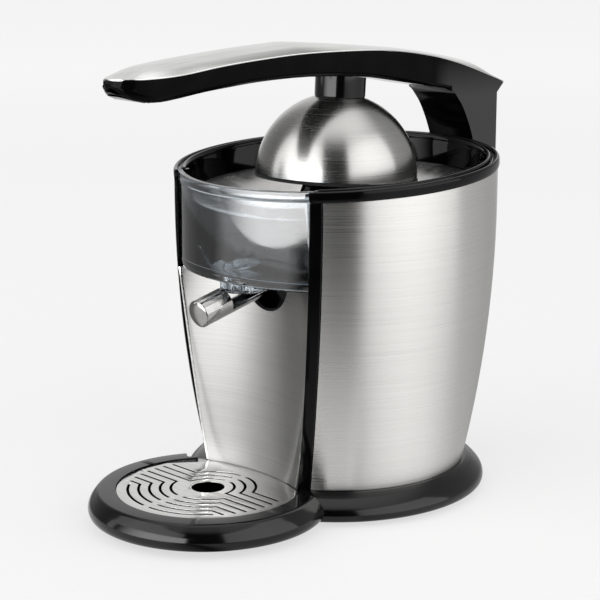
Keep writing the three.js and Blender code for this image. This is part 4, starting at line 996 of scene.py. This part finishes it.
# %% Base
BASE_LOW, DECK = 2.5, 20.2
BASE_FLARE, BASE_TALL = 14.4, 17.7
BASE_IN_R = 97
SKIRT = [(0.74, 0), (0.945, 0.085), (1, 0.24), (0.93, 0.46), (0.71, 0.68), (0.42, 0.88),
         (0.14, 1)]
base_foot = body_radius(FOOT)
base_seat = base_foot - 5.5
BASE_R = base_foot + BASE_FLARE
HEEL_R, HEEL_HALF, HEEL_LOW, SEAT_LOW = BASE_R + 7, 20, 5, 16.5
NICHE_MIDDLE = NICHE_LOW_Y - NICHE_LOW_R

skirt_line = eased([(base_foot + BASE_FLARE * a, BASE_LOW + BASE_TALL * b)
                    for a, b in SKIRT], 5)
base = spun("black_base", skirt_line + [
    (base_seat, DECK), (base_seat, SEAT_LOW), (BASE_IN_R, 8), (BASE_IN_R, BASE_LOW),
    skirt_line[0]], 176)
niche = disc("niche", NICHE_LOW_R, 0, 60, y=NICHE_MIDDLE, sides=NICHE_SIDES)
apron = disc("apron", NICHE_LOW_R + 3, BASE_LOW, DECK, y=NICHE_MIDDLE, sides=NICHE_SIDES)
with_tool(apron, disc("apron_round", 100, 0, 30), 'INTERSECT')
with_tool(base, apron, 'UNION')
with_tool(base, niche)
heel = cube("heel", (-HEEL_HALF, 84, HEEL_LOW), (HEEL_HALF, HEEL_R, DECK))
with_tool(heel, disc("heel_round", HEEL_R, 0, 40), 'INTERSECT')
with_tool(heel, disc("heel_core", BASE_IN_R - 0.1, 0, SEAT_LOW))
with_tool(base, heel, 'UNION')
rounded(base, 0.6, 3, 40)
settle(base, "root", ["base_skirt"], gloss_base)

# %% [markdown]
# ## Drip tray
# The tray is a round dish about its own centre, cut to nest against the base. Its plan is a
# disc less the base's plan, so the same helper, with a different clearance, cuts the tray's
# outside, the wall of its hollow and later the plate.

# %% Drip tray
TRAY_Y, TRAY_R = -119.2, 79.0
TRAY_LOW, TRAY_TALL, TRAY_WALL, NEST_GAP = 2.5, 19.3, 3.0, 0.6
HOLLOW_R, HOLLOW_LOW = 58.2, 9
TRAY = [(0.91, 0.14), (0.945, 0.125), (0.98, 0.18), (0.998, 0.33), (0.995, 0.52),
        (0.97, 0.73), (0.93, 0.94)]
RING_SECTION = [(TRAY_R * 0.916, 21.6), (TRAY_R * 0.901, 21.8), (61.0, 21.8), (60.7, 21.5),
                (60.7, 19.9), (0, 19.9)]

tray_line = eased([(TRAY_R * a, TRAY_LOW + TRAY_TALL * b) for a, b in TRAY], 5)
tray = spun("black_tray", [(0, 5)] + tray_line + RING_SECTION, 176)
shifted(tray, (0, TRAY_Y, 0))


def base_plan(name, offset):
    plan = disc(name, BASE_R + offset, 0, 60, sides=176)
    bay = disc(name + "_bay", NICHE_LOW_R - offset, -9, 69, y=NICHE_MIDDLE, sides=NICHE_SIDES)
    return with_tool(plan, bay)


hollow = disc("hollow", HOLLOW_R, HOLLOW_LOW, 40, y=TRAY_Y)
with_tool(hollow, base_plan("rear_wall", NEST_GAP + TRAY_WALL))
with_tool(tray, hollow)
with_tool(tray, base_plan("nest", NEST_GAP))
rounded(tray, 0.4, 3, 40)
settle(tray, "drip_tray", ["drip_tray"], gloss_base)

# %% [markdown]
# ## Slotted plate
# The plate's slots run straight in from the sides and bend round the drain hole. Each is drawn
# as a middle line, and its outline is that line offset to both sides. At a corner the offset is
# lengthened, so that the slot keeps its width.

# %% Outline of a slot
def slot_outline(points, width):
    left, right = [], []
    for i, (x, y) in enumerate(points):
        ahead = Vector(points[min(len(points) - 1, i + 1)]) - Vector((x, y))
        behind = Vector((x, y)) - Vector(points[max(0, i - 1)])
        along = (ahead.normalized() + behind.normalized()).normalized()
        step = along if i in (0, len(points) - 1) else behind.normalized()
        wide = width / 2 / max(0.5, abs(along.dot(step)))
        left.append((x - along.y * wide, y + along.x * wide))
        right.append((x + along.y * wide, y - along.x * wide))
    return left + right[::-1]


# %% [markdown]
# The pattern repeats, so it is a short table: the row of each slot, the radius of its bend, and
# whether it bends up or down. Both count in steps of one pitch. A loop draws the slots for the
# right and the left, and all of them are joined to one tool, so one cut makes the pattern.

# %% Slots of the plate
PITCH, REACH, SLOT_WIDE = 7.05, 54.3, 1.9
MIDDLE_GAP, BEND_STEPS = 2.6, 14
SLOTS = [(2, 4.47, 1), (1, 3.47, 1), (0, 2.47, 1), (-1, 3.47, -1), (-2, 4.47, -1),
         (-3, 5.47, -1), (-4, 6.47, -1), (-4.6, 7.47, -1)]

slots = []
for side in (1, -1):
    for row, arc, up in SLOTS:
        r, y = arc * PITCH, row * PITCH
        start, end = math.asin(y / r), up * math.acos(MIDDLE_GAP / r)
        turns = [start + (end - start) * k / BEND_STEPS for k in range(BEND_STEPS + 1)]
        run = [(side * r * math.cos(t), r * math.sin(t)) for t in turns]
        if (row, arc, up) != SLOTS[-1]:
            run.insert(0, (side * math.sqrt(REACH ** 2 - y ** 2), y))
        slots.append(plan_prism("slot", slot_outline(run, SLOT_WIDE), 15, 30))
cutter = shifted(joined(slots), (0, TRAY_Y, 0))
print("slots", len(slots))

# %% [markdown]
# The plate itself is a thin disc that lies in the tray's ring. It is nested against the base
# like the tray, cut with the slots and the drain hole, and rounded very finely, because a thin
# sheet's edge shows as a hairline of light.

# %% Slotted plate
PLATE_R, PLATE_LOW, PLATE_TOP, DRAIN_R = 60.1, 20.2, 21.1, 10.9

plate = disc("slotted_plate", PLATE_R, PLATE_LOW, PLATE_TOP, y=TRAY_Y, sides=160)
with_tool(plate, base_plan("plate_nest", NEST_GAP + GAP))
with_tool(plate, cutter)
with_tool(plate, disc("drain", DRAIN_R, 10, 40, y=TRAY_Y, sides=72))
rounded(plate, 0.18, 2, 40)
settle(plate, "drip_plate", ["drip_plate"], steel_plate)

# %% [markdown]
# ## The arm
# The arm is lever and horn in one glossy moulding that turns on a pin behind the body. It could
# be a curve with a thickness, but its side outline is what the eye knows it by. So the outline
# is eased through measured points, given as shares of the arm's reach and rise from the pin.

# %% Outline of the arm
PIN_Y, PIN_Z = 128.0, 211.0
ARM_HALF, ARM_REACH, ARM_RISE, TIP = 20.5, 322.5, 90.0, 38.0


def on_arm(shares):
    return [(PIN_Y + a * ARM_REACH, PIN_Z + b * ARM_RISE) for a, b in shares]


arm_top = eased(on_arm([
    (-0.997, 0.911), (-0.874, 0.928), (-0.775, 0.962), (-0.669, 0.986), (-0.531, 1),
    (-0.334, 0.978), (-0.196, 0.917), (-0.08, 0.824), (0.043, 0.681), (0.074, 0.639)]), 5)
arm_under = eased(on_arm([
    (-0.0245, 0.167), (-0.031, 0.244), (-0.0445, 0.356), (-0.0644, 0.483), (-0.0813, 0.556),
    (-0.095, 0.606), (-0.117, 0.639), (-0.163, 0.667), (-0.242, 0.717), (-0.331, 0.772),
    (-0.393, 0.8), (-0.531, 0.833), (-0.66, 0.833), (-0.748, 0.816), (-0.81, 0.8),
    (-0.871, 0.776), (-0.917, 0.76), (-0.951, 0.767), (-0.982, 0.806), (-1, 0.878)]), 3)
arm_back = on_arm([(0.052, 0.567), (0.052, 0.089), (-0.0245, 0.089)])
arm_outline = arm_top + arm_back + arm_under
print("arm outline", len(arm_outline), "points")

# %% [markdown]
# The outline is filled and pushed across the width. From above, the tip is a half-ellipse, so
# a prism with that plan trims it.

# %% Arm body
TIP_STEPS = 40

arm = side_prism("black_arm", arm_outline, -ARM_HALF, ARM_HALF)
tip_y = PIN_Y - ARM_REACH
turns = [math.pi * i / TIP_STEPS for i in range(TIP_STEPS + 1)]
tip = [(ARM_HALF * math.cos(t), tip_y + TIP - TIP * math.sin(t)) for t in turns]
tip_plan = tip + [(-ARM_HALF - 1, 200), (ARM_HALF + 1, 200)]
with_tool(arm, plan_prism("tip_plan", tip_plan, 100, 400), 'INTERSECT')
print("arm", len(arm.data.polygons), "faces")

# %% [markdown]
# The lever's lower edges are softly rounded, and less so towards the tip, where a wide bevel
# would fold over itself. Bevel weights do this: an edge between a face that looks down and one
# that looks sideways gets a width read from a short table of distances from the tip.

# %% Soft lower edges
UNDER_WIDTHS = [(0, 1.2), (12, 5.5), (60, 4.0)]   # distance from the tip, width of the bevel
UNDER_END = 96                                    # where the lever passes into the horn


def height_on(line, y):
    for (y0, z0), (y1, z1) in zip(line, line[1:]):
        if y <= y1:
            return z0 + (z1 - z0) * (y - y0) / (y1 - y0)
    return line[-1][1]


def soften_under(obj, widths, back_end):
    mesh = obj.data
    widest = max(w for _, w in widths)
    facing = {}
    for face in mesh.polygons:
        for key in face.edge_keys:
            facing.setdefault(key, []).append(face.normal.z)
    weights = mesh.attributes.new("bevel_weight_edge", 'FLOAT', 'EDGE')
    for line in mesh.edges:
        sides = sorted(facing[line.key])
        middle = sum((mesh.vertices[i].co for i in line.vertices), Vector()) / 2
        looks_down = len(sides) == 2 and sides[0] < -0.3 and abs(sides[1]) < 0.05
        if looks_down and middle.y < back_end:
            weights.data[line.index].value = height_on(widths, middle.y - tip_y) / widest
    return modified(obj, 'BEVEL', width=widest, segments=6, limit_method='WEIGHT',
                    use_clamp_overlap=False)


soften_under(arm, UNDER_WIDTHS, UNDER_END)
rounded(arm, 0.8, 3, 40)
print("arm with soft edges", len(arm.data.polygons), "faces")

# %% [markdown]
# The horn's foot turns on the pin. It is relieved at both sides for the ears of the spine and
# once more for the spring, and a knuckle with a neck is added in between and bored. Crossways
# discs, all on the pin's line, do the whole job.

# %% Hinge of the arm
EAR_R, KNUCKLE_R, PIN_BORE_R = 12.6, 11.5, 6.1
KNUCKLE_LEFT, KNUCKLE_RIGHT = -11, 5
EAR_IN, EAR_OUT = 11, 27
NECK_HALF, NECK_TALL = 11.2, 14.5


def cross_bar(name, radius, left, right):
    bar = disc(name, radius, left, right, sides=64)
    turned_about(bar, 'Y', 90)
    return shifted(bar, (0, PIN_Y, PIN_Z))


neck = cube("neck", (KNUCKLE_LEFT, PIN_Y - NECK_HALF, PIN_Z),
            (KNUCKLE_RIGHT, PIN_Y + NECK_HALF, PIN_Z + NECK_TALL))
with_tool(arm, cross_bar("ear_left", EAR_R, -EAR_OUT, -EAR_IN))
with_tool(arm, cross_bar("ear_right", EAR_R, EAR_IN, EAR_OUT))
with_tool(arm, cross_bar("spring_room", KNUCKLE_R, KNUCKLE_RIGHT, EAR_IN + GAP))
with_tool(arm, cross_bar("knuckle", KNUCKLE_R, KNUCKLE_LEFT, KNUCKLE_RIGHT), 'UNION')
with_tool(arm, neck, 'UNION')
with_tool(arm, cross_bar("pin_bore", PIN_BORE_R, -EAR_OUT, EAR_OUT))
settle(arm, "arm", ["arm"], gloss_lever, 40, evened=True)

# %% [markdown]
# ## The polished cap
# The cap on the lever is crowned: high along the middle, thin at its edges. A slab with a bevel
# would have a flat top, and the light would not run along it. So long runs of edges are drawn
# side by side, each a little higher towards the middle. Their points lie closer together at the
# tip, where the plan turns fast.

# %% Runs over the cap
CROWN_POWER, EDGE_RISE = 2.4, 0.7
TIP_ROWS, LONG_ROWS, HALF_RUNS = 12, 60, 12
crown = eased(on_arm([
    (-0.997, 0.911), (-0.94, 0.981), (-0.905, 1.002), (-0.825, 1.029), (-0.687, 1.061),
    (-0.592, 1.075), (-0.521, 1.072), (-0.264, 0.984), (-0.123, 0.91), (0, 0.816),
    (0.043, 0.73), (0.074, 0.665)]), 4)
first, last = arm_top[0][0], arm_top[-1][0]
quarter = math.pi / 2
stations = [first + TIP * (1 - math.cos(quarter * (k + 0.35) / (TIP_ROWS + 0.35)))
            for k in range(TIP_ROWS)]
stations += [first + TIP + (last - first - TIP) * k / LONG_ROWS for k in range(LONG_ROWS + 1)]
across = [math.sin(quarter * k / HALF_RUNS) for k in range(-HALF_RUNS, HALF_RUNS + 1)]


def cap_run(x):
    run = []
    for y in stations:
        back = max(0.0, (first + TIP - y) / TIP)
        half = ARM_HALF * math.sqrt(max(0.0, 1 - back ** 2))
        low = height_on(arm_top, y) + GAP + EDGE_RISE
        rise = max(0.0, height_on(crown, y) - low) * (1 - abs(x) ** CROWN_POWER)
        run.append((x * half, y, low + rise))
    return run_of_edges("cap_run", run)


runs = [cap_run(x) for x in across]
print("runs", len(runs), "of", len(stations), "points")

# %% [markdown]
# The runs are bridged into one skin, and the skin is pushed down into a solid. Then all that
# lies below the arm's top line, with a fitting gap, is cut away from under it, so the cap sits
# on the arm along its whole length.

# %% Crowned cap
CAP_DEEP = 14
CAP_PAST, CAP_BELOW = 9, 150

cap = bridged(runs, push=(0, 0, -CAP_DEEP))
start, end = first - CAP_PAST, last + CAP_PAST
below = [(start, arm_top[0][1])] + arm_top + [(end, arm_top[-1][1]), (end, CAP_BELOW),
                                              (start, CAP_BELOW)]
with_tool(cap, shifted(side_prism("below_cap", below, -30, 30), (0, 0, GAP)))
cap.name = "polished_cap"
rounded(cap, 0.25, 2, 40)
settle(cap, "arm", ["arm_cap"], steel_polished, 40)

# %% [markdown]
# ## Dome and lip
# The dome hangs from a short hub and leans back a little. It is a thin shell of spun steel with
# a black lip under its edge. A ready-made sphere would have poles and no thickness, so half a
# section is drawn as an arc and spun upright about the axis. It is leaned when it is done.

# %% Dome and its lip
DOME_R, DOME_Z, DOME_LEAN, DOME_WALL = 55.0, 216.0, -3.5, 1.2
DOME_OPEN, ARC_STEPS = 86.4, 40       # degrees up to the hole at the top, points to there
LIP_SECTION = [(53.5, 213.7), (53.8, 213.6), (55.1, 213.6), (55.5, 213.9), (55.5, 215.4),
               (55.2, 215.7), (53.5, 215.7), (53.3, 215.4), (53.5, 213.7)]


def arc_points(radius, start, end, steps):
    turns = [math.radians(start + (end - start) * i / steps) for i in range(steps + 1)]
    return [(radius * math.cos(t), DOME_Z + radius * math.sin(t)) for t in turns]


def dome_tilted(obj):
    return turned_about(obj, 'X', DOME_LEAN, (0, 0, DOME_Z))


outside = arc_points(DOME_R, 0, DOME_OPEN, ARC_STEPS)
inside = arc_points(DOME_R - DOME_WALL, 0, DOME_OPEN - 0.1, ARC_STEPS)
dome = spun("steel_dome_shell", outside + inside[::-1] + [outside[0]], 192)
dome_tilted(dome)
settle(dome, "arm", ["dome"], steel_dome, 40)

seal = spun("dome_lip", LIP_SECTION, 160)
dome_tilted(seal)
settle(seal, "arm", ["dome_seal"], soft_rubber)

# %% [markdown]
# ## Hub
# The hub is a short black post with a fine step near its foot. Its foot follows the dome and
# its head the arm's underside. Rather than measure those two meeting lines, we make the post
# too long and cut it with a ball a hair larger than the dome and with the arm's own outline.

# %% Hub
BALL_R = 55.3
HUB_SECTION = [(0, 262), (16.4, 262), (16.7, 268.4), (16.9, 268.8), (17.1, 269.0),
               (17.2, 269.6), (17.3, 300), (0, 300)]

hub = spun("black_hub", HUB_SECTION, 128)
dome_tilted(hub)
ball_line = [(0, DOME_Z - BALL_R)] + arc_points(BALL_R, -88, 88, 60) + [(0, DOME_Z + BALL_R)]
ball = spun("dome_ball", ball_line, 96)
with_tool(hub, dome_tilted(ball))
under_block = side_prism("under_block", arm_outline, -30, 30)
with_tool(hub, shifted(under_block, (0, 0, -GAP)))
screw_way = disc("screw_way", 3.3, 100, 400, sides=32)
with_tool(hub, dome_tilted(screw_way))
settle(hub, "arm", ["hub"], gloss_base, 34)

# %% [markdown]
# ## Rear spine
# The spine behind the shell is a smooth hollow post. Its CAD solid has the right shape already,
# but sharp edges, so nothing is drawn anew: a copy of the mesh has its loose triangles merged,
# is brought to millimetres round the body's axis, and gets rounded edges.

# %% Rear spine
bpy.ops.object.select_all(action='DESELECT')
spine = copied(frame["nodes"]["rear_spine"], "black_spine")
start_edit()
bpy.ops.mesh.remove_doubles(threshold=0.00001)
bpy.ops.mesh.dissolve_limited(angle_limit=math.radians(1))
bpy.ops.object.mode_set(mode='OBJECT')
spine.scale = (1 / MM, 1 / MM, 1 / MM)
spine.location = (0, -AXIS_BACK, 0)
apply_place()
rounded(spine, 1.2, 3, 50)
settle(spine, "root", ["rear_spine"], gloss_black, 34)

# %% [markdown]
# ## Finishes on the CAD nodes that stay
# Everything else keeps its CAD solid: screws, feet, pins, gears and motor. The record names a
# material slot for each node, so a table from slot to finish dresses them all in one loop.

# %% Finishes of the small parts
finish_of = {
    "rubber": soft_rubber, "gloss": gloss_black, "satin": satin_black, "nylon": white_nylon,
    "zinc": cast_zinc, "brass": turned_brass, "copper": copper_core, "steel": steel_dish,
    "mirror": chrome_spout, "smoke": smoked_clear,
}
slot_of = {row["node"]: row["material_slot"] for row in frame["record"]["subparts"]}
for name, node in frame["nodes"].items():
    node.data.materials.clear()
    node.data.materials.append(finish_of[slot_of[name]])
print("dressed", len(frame["nodes"]), "CAD nodes")

# %% [markdown]
# ## The studio
# The press stands on a plain pale floor between two large softboxes, one to the left and one to
# the right. The gap between them, where the camera stands, is unlit. Polished metal is drawn by
# just that: bright fields with a dark stripe between them. Two helpers keep the node graphs of
# the studio short.

# %% Helpers for the studio's nodes
PALE = (0.896, 0.896, 0.896, 1)


def studio_node(tree, kind, *sources, **settings):
    made = tree.nodes.new(kind)
    for key, value in settings.items():
        if hasattr(made, key):
            setattr(made, key, value)
        else:
            made.inputs[key.replace("_", " ")].default_value = value
    for socket, source in zip(made.inputs, sources):
        tree.links.new(source, socket)
    return made


def smooth_step(tree, source, low, high, low_value=0.0, high_value=1.0):
    step = studio_node(tree, "ShaderNodeMapRange", source, From_Min=low, From_Max=high,
                       To_Min=low_value, To_Max=high_value)
    step.interpolation_type = 'SMOOTHSTEP'
    return step.outputs["Result"]


# %% [markdown]
# In reflections, the room and the floor change in brightness with the direction. One table of
# degrees round the press and brightness says how, with the lit fields near 0.9 and the gap near
# nothing. Many lamps could do it too, but a table is quicker to adjust and never burns out.

# %% Brightness round the room
ROOM = [(-180, 0.3), (-160, 0.22), (-140, 0.28), (-128, 0.9), (-78, 0.9), (-67, 0.02),
        (-30, 0.02), (-22, 0.68), (-8, 0.9), (6, 1.0), (20, 0.95), (36, 0.76), (54, 0.56),
        (88, 0.42), (108, 0.4), (125, 0.9), (150, 0.9), (165, 0.4), (180, 0.3)]
GAP_SIDE = Vector((0.707, -0.707, 0))     # the way to the gap between the softboxes
GAP_EDGE = 0.92, 0.965                    # share of that way at the gap's soft border


def around_room(tree, vector):
    parts = studio_node(tree, "ShaderNodeSeparateXYZ", vector)
    turn = studio_node(tree, "ShaderNodeMath", parts.outputs["Y"], parts.outputs["X"],
                       operation='ARCTAN2')
    share = studio_node(tree, "ShaderNodeMapRange", turn.outputs[0], From_Min=-math.pi,
                        From_Max=math.pi)
    ramp = studio_node(tree, "ShaderNodeValToRGB", share.outputs[0])
    stops = ramp.color_ramp.elements
    stops.remove(stops[1])
    for degrees, value in ROOM:
        place = (degrees + 180) / 360
        stop = stops.new(place) if place else stops[0]
        stop.position, stop.color = place, (value, value, value, 1)
    return ramp.outputs["Color"]


def inside_gap(tree, vector):
    level = studio_node(tree, "ShaderNodeVectorMath", vector, operation='MULTIPLY')
    level.inputs[1].default_value = (1, 1, 0)
    unit = studio_node(tree, "ShaderNodeVectorMath", level.outputs[0], operation='NORMALIZE')
    along = studio_node(tree, "ShaderNodeVectorMath", unit.outputs[0],
                        operation='DOT_PRODUCT')
    along.inputs[1].default_value = GAP_SIDE
    return smooth_step(tree, along.outputs["Value"], *GAP_EDGE)


print("room", len(ROOM), "stops, brightest", max(value for _, value in ROOM))

# %% [markdown]
# ## Floor
# The floor has three answers, one for each kind of ray. Metal and gloss see the table above,
# with a lighter patch close to the press on the side of the gap. Straight to the camera it is
# an even pale tone that still takes the shadow: partly lit, partly glowing by itself. All other
# light falls on a plain pale floor.

# %% Floor
FLOOR_LIT, FLOOR_SHADED = (0.8, 0.8, 0.8, 1), (0.36, 0.36, 0.36, 1)
GLOW_NEAR = 0.12, 0.62, 0.72, 0           # metres, from and to; brightness, from and to
GLOW_FAR = 1.3, 3.2, 0.71, 0.775

bpy.ops.object.select_all(action='DESELECT')
bpy.ops.mesh.primitive_plane_add(size=60, location=(0, 0, 0))
floor = added("studio_floor")
floor_mat = bpy.data.materials.new("pale_floor")
floor_mat.use_nodes = True
ft = floor_mat.node_tree
ft.nodes.clear()
place = studio_node(ft, "ShaderNodeTexCoord").outputs["Object"]
away = studio_node(ft, "ShaderNodeVectorMath", place, operation='LENGTH').outputs["Value"]
close_by = smooth_step(ft, away, *GLOW_NEAR)
near_gap = studio_node(ft, "ShaderNodeMath", inside_gap(ft, place), close_by,
                       operation='MULTIPLY').outputs[0]
round_about = studio_node(ft, "ShaderNodeMath", near_gap, around_room(ft, place),
                          operation='ADD').outputs[0]
mirrored = studio_node(ft, "ShaderNodeEmission", Color=(1, 1, 1, 1))
ft.links.new(round_about, mirrored.inputs["Strength"])
lit = studio_node(ft, "ShaderNodeBsdfDiffuse", Color=FLOOR_LIT)
shaded = studio_node(ft, "ShaderNodeBsdfDiffuse", Color=FLOOR_SHADED)
own = studio_node(ft, "ShaderNodeEmission", Color=PALE)
ft.links.new(smooth_step(ft, away, *GLOW_FAR), own.inputs["Strength"])
seen = studio_node(ft, "ShaderNodeAddShader", shaded.outputs[0], own.outputs[0])
ray = studio_node(ft, "ShaderNodeLightPath")
in_metal = studio_node(ft, "ShaderNodeMixShader", ray.outputs["Is Glossy Ray"],
                       lit.outputs[0], mirrored.outputs[0])
to_camera = studio_node(ft, "ShaderNodeMixShader", ray.outputs["Is Camera Ray"],
                        in_metal.outputs[0], seen.outputs[0])
studio_node(ft, "ShaderNodeOutputMaterial", to_camera.outputs[0])
floor.data.materials.append(floor_mat)
print("floor", len(ft.nodes), "nodes")

# %% [markdown]
# ## World
# The world answers in the same three ways: white behind the floor to the camera, the table with
# a bright ceiling to metal and gloss, and an even fill of lower strength to all the rest.

# %% World
SEEN_WHITE, FILL, CEILING = 1.0, 0.6, 1.5
CEILING_EDGE = 0.7, 0.97                  # how steeply up the ceiling begins and is full


def mixed(tree, share, low, high):
    mix = studio_node(tree, "ShaderNodeMix", share)
    for socket, value in zip(mix.inputs[2:4], (low, high)):
        if isinstance(value, float):
            socket.default_value = value
        else:
            tree.links.new(value, socket)
    return mix.outputs[0]


world = bpy.data.worlds.new("studio")
bpy.context.scene.world = world
world.use_nodes = True
wt = world.node_tree
background = wt.nodes["Background"]
background.inputs["Color"].default_value = PALE
direction = studio_node(wt, "ShaderNodeTexCoord").outputs["Generated"]
upwards = studio_node(wt, "ShaderNodeSeparateXYZ", direction).outputs["Z"]
world_ray = studio_node(wt, "ShaderNodeLightPath")
ceiling = smooth_step(wt, upwards, *CEILING_EDGE)
overhead = mixed(wt, ceiling, around_room(wt, direction), CEILING)
plain = mixed(wt, world_ray.outputs["Is Camera Ray"], FILL, SEEN_WHITE)
level = mixed(wt, world_ray.outputs["Is Glossy Ray"], plain, overhead)
wt.links.new(level, background.inputs["Strength"])
print("world", len(wt.nodes), "nodes")

# %% [markdown]
# ## Softboxes
# Each softbox is a large area light that stands on the floor and faces the press. We give it a
# radiance, and its power follows from its area. So a softbox can be widened without making what
# it shows in the metal any brighter.

# %% Softboxes
def softbox(name, azimuth, away, wide, low, high, radiance):
    turn = math.radians(azimuth)
    spot = Vector((away * math.cos(turn), away * math.sin(turn), (low + high) / 2))
    bpy.ops.object.light_add(type='AREA', location=spot)
    lamp = bpy.context.object
    lamp.name = name
    lamp.data.shape = 'RECTANGLE'
    lamp.data.size = wide
    lamp.data.size_y = high - low
    lamp.data.energy = radiance * math.pi * wide * (high - low)
    lamp.rotation_euler = Vector((-spot.x, -spot.y, 0)).to_track_quat('-Z', 'Y').to_euler()
    print(name, "softbox", round(wide, 2), "by", round(high - low, 2), "m")


BOX_AWAY, BOX_LOW, BOX_HIGH = 3.0, 0.02, 3.6
softbox("softbox_left", -107, BOX_AWAY, 5.0, BOX_LOW, BOX_HIGH, 1.2)
softbox("softbox_right", 10, BOX_AWAY, 4.6, BOX_LOW, BOX_HIGH, 1.1)

# %% [markdown]
# ## Low card
# A card stands low on the left, fades towards its left end, and gives the window its bright
# patch. A lamp there would light the floor as well. The card shows in reflections only, so it
# neither stands in a wide view nor burns out the floor.

# %% Low bright card
def card(name, left, right, low, high, radiance):
    bpy.ops.object.select_all(action='DESELECT')
    bpy.ops.mesh.primitive_plane_add(size=1)
    plane = added(name)
    along, middle = Vector(right) - Vector(left), (Vector(left) + Vector(right)) / 2
    plane.scale = (along.length, high - low, 1)
    plane.rotation_euler = (math.pi / 2, 0, math.atan2(along.y, along.x))
    plane.location = (middle.x, middle.y, (low + high) / 2)
    bpy.ops.object.transform_apply(location=False, rotation=False, scale=True)
    mat = bpy.data.materials.new(name)
    mat.use_nodes = True
    tree = mat.node_tree
    tree.nodes.clear()
    place = studio_node(tree, "ShaderNodeTexCoord").outputs["Object"]
    across = studio_node(tree, "ShaderNodeSeparateXYZ", place).outputs["X"]
    half = along.length / 2
    glow = studio_node(tree, "ShaderNodeEmission", Color=PALE)
    tree.links.new(smooth_step(tree, across, -half, 0.25 * half, 0, radiance),
                   glow.inputs["Strength"])
    clear = studio_node(tree, "ShaderNodeBsdfTransparent")
    mirror_ray = studio_node(tree, "ShaderNodeLightPath").outputs["Is Glossy Ray"]
    unseen = studio_node(tree, "ShaderNodeMixShader", mirror_ray, clear.outputs[0],
                         glow.outputs[0])
    studio_node(tree, "ShaderNodeOutputMaterial", unseen.outputs[0])
    mat.cycles.emission_sampling = 'NONE'
    plane.data.materials.append(mat)
    print(name, "card", round(along.length, 2), "m wide")


card("card_left", (-0.85, -0.89), (0.41, -0.85), 0.01, 0.45, 6.0)

# %% [markdown]
# ## Camera
# The camera looks down on the press from the front right, where the two softboxes leave their
# gap. A long lens keeps the round forms calm. The Standard view leaves each colour about as it
# was written.

# %% Camera
CAMERA_AT = (0.8241, -0.8205, 0.4020)
CAMERA_LOOK = Vector((-0.6950, 0.6825, -0.2263))

bpy.ops.object.camera_add(location=CAMERA_AT)
camera = bpy.context.object
camera.rotation_euler = CAMERA_LOOK.to_track_quat('-Z', 'Y').to_euler()
camera.data.lens = 105.16
camera.data.sensor_width = 36
bpy.context.scene.camera = camera
bpy.context.scene.view_settings.view_transform = 'Standard'
print("camera", round((Vector(CAMERA_AT)).length, 2), "m from the origin")
